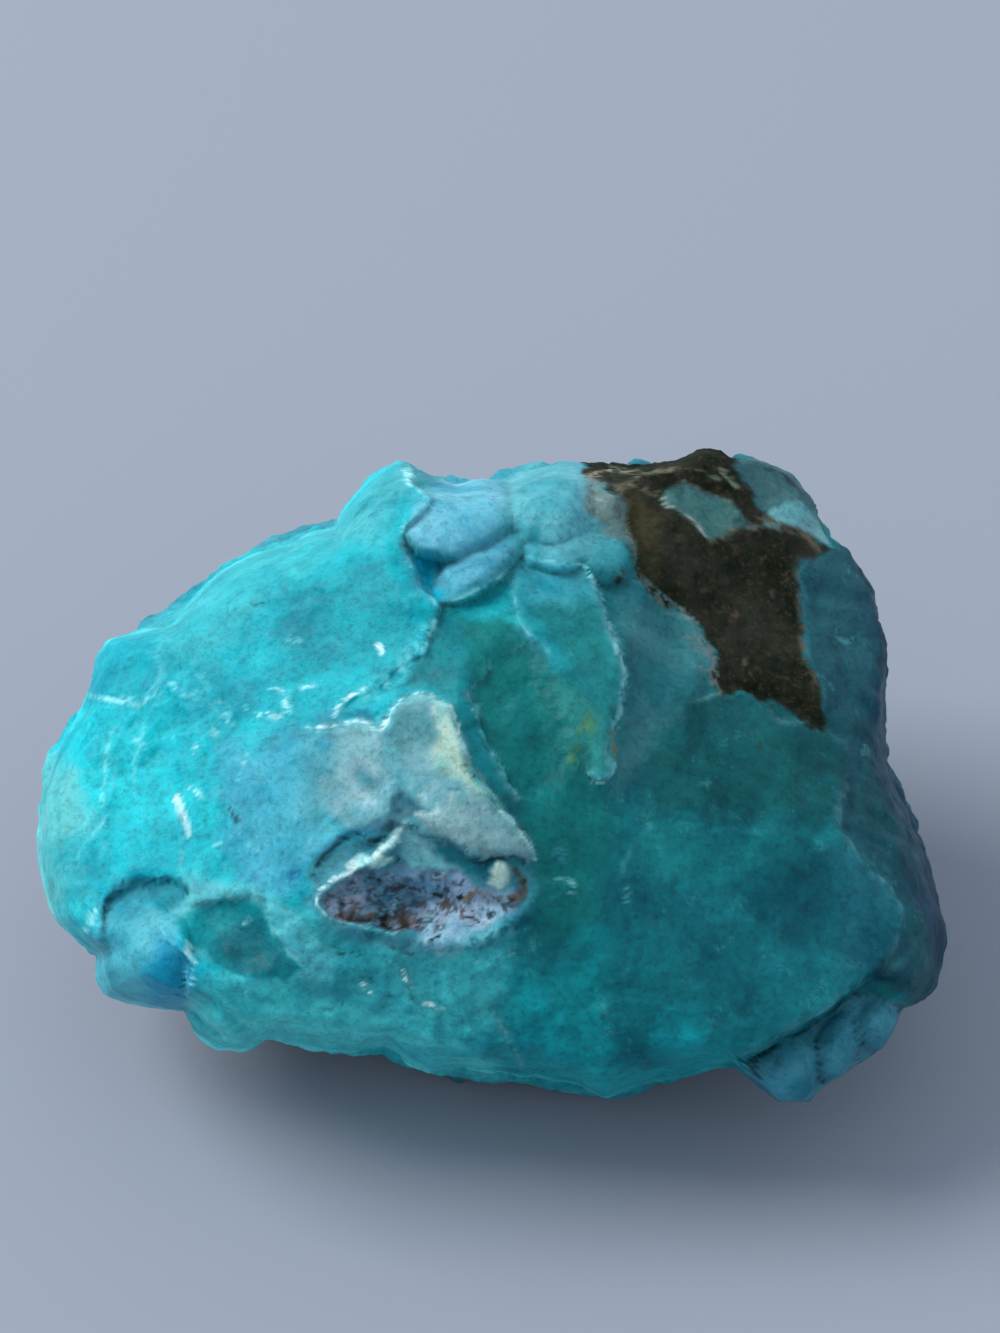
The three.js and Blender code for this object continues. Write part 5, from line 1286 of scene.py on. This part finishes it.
def stone_material():
    material = bpy.data.materials.new("hemimorphite")
    material.use_nodes = True
    tree = material.node_tree
    shader = tree.nodes["Principled BSDF"]
    link = tree.links.new

    def attribute(name):
        return add_node(tree, "ShaderNodeAttribute", attribute_name=name)

    def noise(scale, detail=3.0, roughness=0.5, distortion=0.0):
        node = add_node(tree, "ShaderNodeTexNoise", Scale=scale, Detail=detail, Roughness=roughness)
        node.inputs["Distortion"].default_value = distortion
        link(place.outputs["Object"], node.inputs["Vector"])
        return node.outputs["Fac"]

    def remap(value, low, high, to_low, to_high):
        node = add_node(tree, "ShaderNodeMapRange")
        link(value, node.inputs["Value"])
        ends = {"From Min": low, "From Max": high, "To Min": to_low, "To Max": to_high}
        for name, number in ends.items():
            node.inputs[name].default_value = number
        return node.outputs["Result"]

    def math_node(operation, a, b):
        node = tree.nodes.new("ShaderNodeMath")
        node.operation = operation
        for socket, value in zip(node.inputs, (a, b)):
            if isinstance(value, (int, float)):
                socket.default_value = value
            else:
                link(value, socket)
        return node.outputs["Value"]

    def times(a, b):
        return math_node("MULTIPLY", a, b)

    def mix(kind, factor, a, b):
        node = tree.nodes.new("ShaderNodeMix")
        node.data_type = "RGBA"
        node.blend_type = kind
        sockets = {"Factor": node.inputs[0], "A": node.inputs[6], "B": node.inputs[7]}
        for name, value in (("Factor", factor), ("A", a), ("B", b)):
            if isinstance(value, (int, float)):
                sockets[name].default_value = value
            elif isinstance(value, tuple):
                sockets[name].default_value = (*value, 1)
            else:
                link(value, sockets[name])
        return node.outputs[2]

    def toned(colour, tone):
        return mix("MULTIPLY", 1.0, colour, tone)

    place = tree.nodes.new("ShaderNodeTexCoord")
    tint, wax = attribute("tint").outputs["Color"], attribute("wax").outputs["Fac"]
    brown, rim = attribute("brown").outputs["Fac"], attribute("rim").outputs["Fac"]
    crevice, chip = attribute("crevice").outputs["Fac"], attribute("chip").outputs["Fac"]

    # deeper and milkier clouds in the waxy parts
    depth = remap(noise(130, 5, 0.62, 0.6), 0.35, 0.62, 0.0, 1.0)
    deep = toned(tint, (0.25, 0.74, 0.80))
    milky = mix("ADD", 1.0, toned(tint, (1.2, 1.12, 1.10)), (0.003, 0.018, 0.018))
    colour = mix("MIX", depth, deep, milky)
    # fine and coarser mottling
    fine = remap(noise(1700, 4, 0.7), 0.35, 0.65, 0.74, 1.26)
    mottle = remap(noise(420, 5, 0.72), 0.36, 0.64, 0.80, 1.20)
    for amount in (fine, mottle):
        colour = toned(colour, mix("MIX", amount, (0.0, 0.0, 0.0), (1.0, 1.0, 1.0)))
    # white frost in streaks, most where the stone is chipped
    frost = remap(noise(300, 7, 0.78, 0.2), 0.58, 0.70, 0.0, 1.0)
    frost = times(times(frost, chip), 0.5)
    frost = times(frost, remap(brown, 0, 0.5, 1, 0.1))
    colour = mix("MIX", frost, colour, FROST)
    # pale broken rims with painted highlights, and painted shade in the crevices
    pale = times(rim, remap(noise(420, 4, 0.7), 0.42, 0.62, 0.0, 1.0))
    pale = times(pale, remap(brown, 0, 0.5, 0.75, 0.15))
    colour = mix("MIX", pale, colour, PALE_RIM_AND_HIGHLIGHT)
    # painted shade: colours in the crevices at the foot of ledges are darkened
    shaded = toned(colour, (0.2, 0.40, 0.50))
    colour = mix("MIX", times(crevice, 0.6), colour, shaded)
    # grit in the brown matrix and dark specks elsewhere
    grit = remap(noise(1300, 4, 0.75), 0.52, 0.72, 0.0, 1.0)
    colour = mix("MIX", times(grit, brown), colour, GRIT)
    specks = remap(noise(950, 2, 0.6), 0.70, 0.76, 0.0, 0.5)
    darker = toned(colour, (0.3, 0.35, 0.4))
    colour = mix("MIX", times(specks, chip), colour, darker)
    link(colour, shader.inputs["Base Color"])

    shine = remap(noise(600, 3, 0.6), 0.3, 0.7, 0.32, 0.55)
    link(math_node("ADD", shine, times(brown, 0.3)), shader.inputs["Roughness"])
    link(times(wax, 0.8), shader.inputs["Subsurface Weight"])
    shader.inputs["Subsurface Radius"].default_value = (0.25, 1.0, 1.1)
    shader.inputs["Subsurface Scale"].default_value = DEPTH_OF_GLOW
    shader.inputs["IOR"].default_value = 1.45
    link(remap(brown, 0, 1, 0.14, 0.04), shader.inputs["Specular IOR Level"])

    bump = tree.nodes.new("ShaderNodeBump")
    bump.inputs["Strength"].default_value = 0.7
    bump.inputs["Distance"].default_value = 0.0003
    link(noise(900, 5, 0.65), bump.inputs["Height"])
    link(bump.outputs["Normal"], shader.inputs["Normal"])
    return material


def floor_material():
    material = bpy.data.materials.new("floor")
    material.use_nodes = True
    shader = material.node_tree.nodes["Principled BSDF"]
    shader.inputs["Base Color"].default_value = (*PAPER, 1)
    shader.inputs["Roughness"].default_value = 0.9
    return material


stone = make_stone()
stone.data.materials.append(stone_material())
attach(stone, "root")
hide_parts("hemimorphite_specimen")

bpy.ops.mesh.primitive_plane_add(size=4)
floor = bpy.context.object
floor.name = "floor"
floor.data.materials.append(floor_material())


# Camera and light

SENSOR = 36
ROOM_LIGHT = (0.80, 0.89, 1.0)
WINDOW_AT = (-1.45, 0.36, 1.60)  # high up on the left, so that the shadow falls to the lower right


def aim(thing, at):
    """Turns a camera or lamp to look at a place."""
    thing.rotation_mode = "QUATERNION"
    thing.rotation_quaternion = (Vector(at) - thing.location).to_track_quat("-Z", "Y")


lean = math.radians(FACE_LOOKS_UP_DEG)
middle = Vector(to_frame(np.array([(*VIEW_CENTRE, 0.0)]))[0].tolist()) * MM
camera = bpy.data.objects.new("camera", bpy.data.cameras.new("camera"))
bpy.context.scene.collection.objects.link(camera)
camera.location = middle + Vector((0, -math.cos(lean), math.sin(lean))) * VIEW_DISTANCE * MM
aim(camera, middle)
camera.data.sensor_width = SENSOR
camera.data.lens = SENSOR * VIEW_DISTANCE / VIEW_HEIGHT
camera.data.clip_start = 0.01
camera.data.clip_end = 20
bpy.context.scene.camera = camera


def area_light(name, at, size, power, colour):
    light = bpy.data.lights.new(name, "AREA")
    light.energy = power
    light.size = size
    light.color = colour
    lamp = bpy.data.objects.new(name, light)
    bpy.context.scene.collection.objects.link(lamp)
    lamp.location = at
    aim(lamp, (0, 0, 0.02))


area_light("window", WINDOW_AT, size=1.25, power=47, colour=(1.0, 0.99, 0.97))
world = bpy.data.worlds.new("room")
bpy.context.scene.world = world
world.use_nodes = True
world.node_tree.nodes["Background"].inputs["Color"].default_value = (*ROOM_LIGHT, 1)
world.node_tree.nodes["Background"].inputs["Strength"].default_value = 0.78
bpy.context.scene.view_settings.view_transform = "Standard"
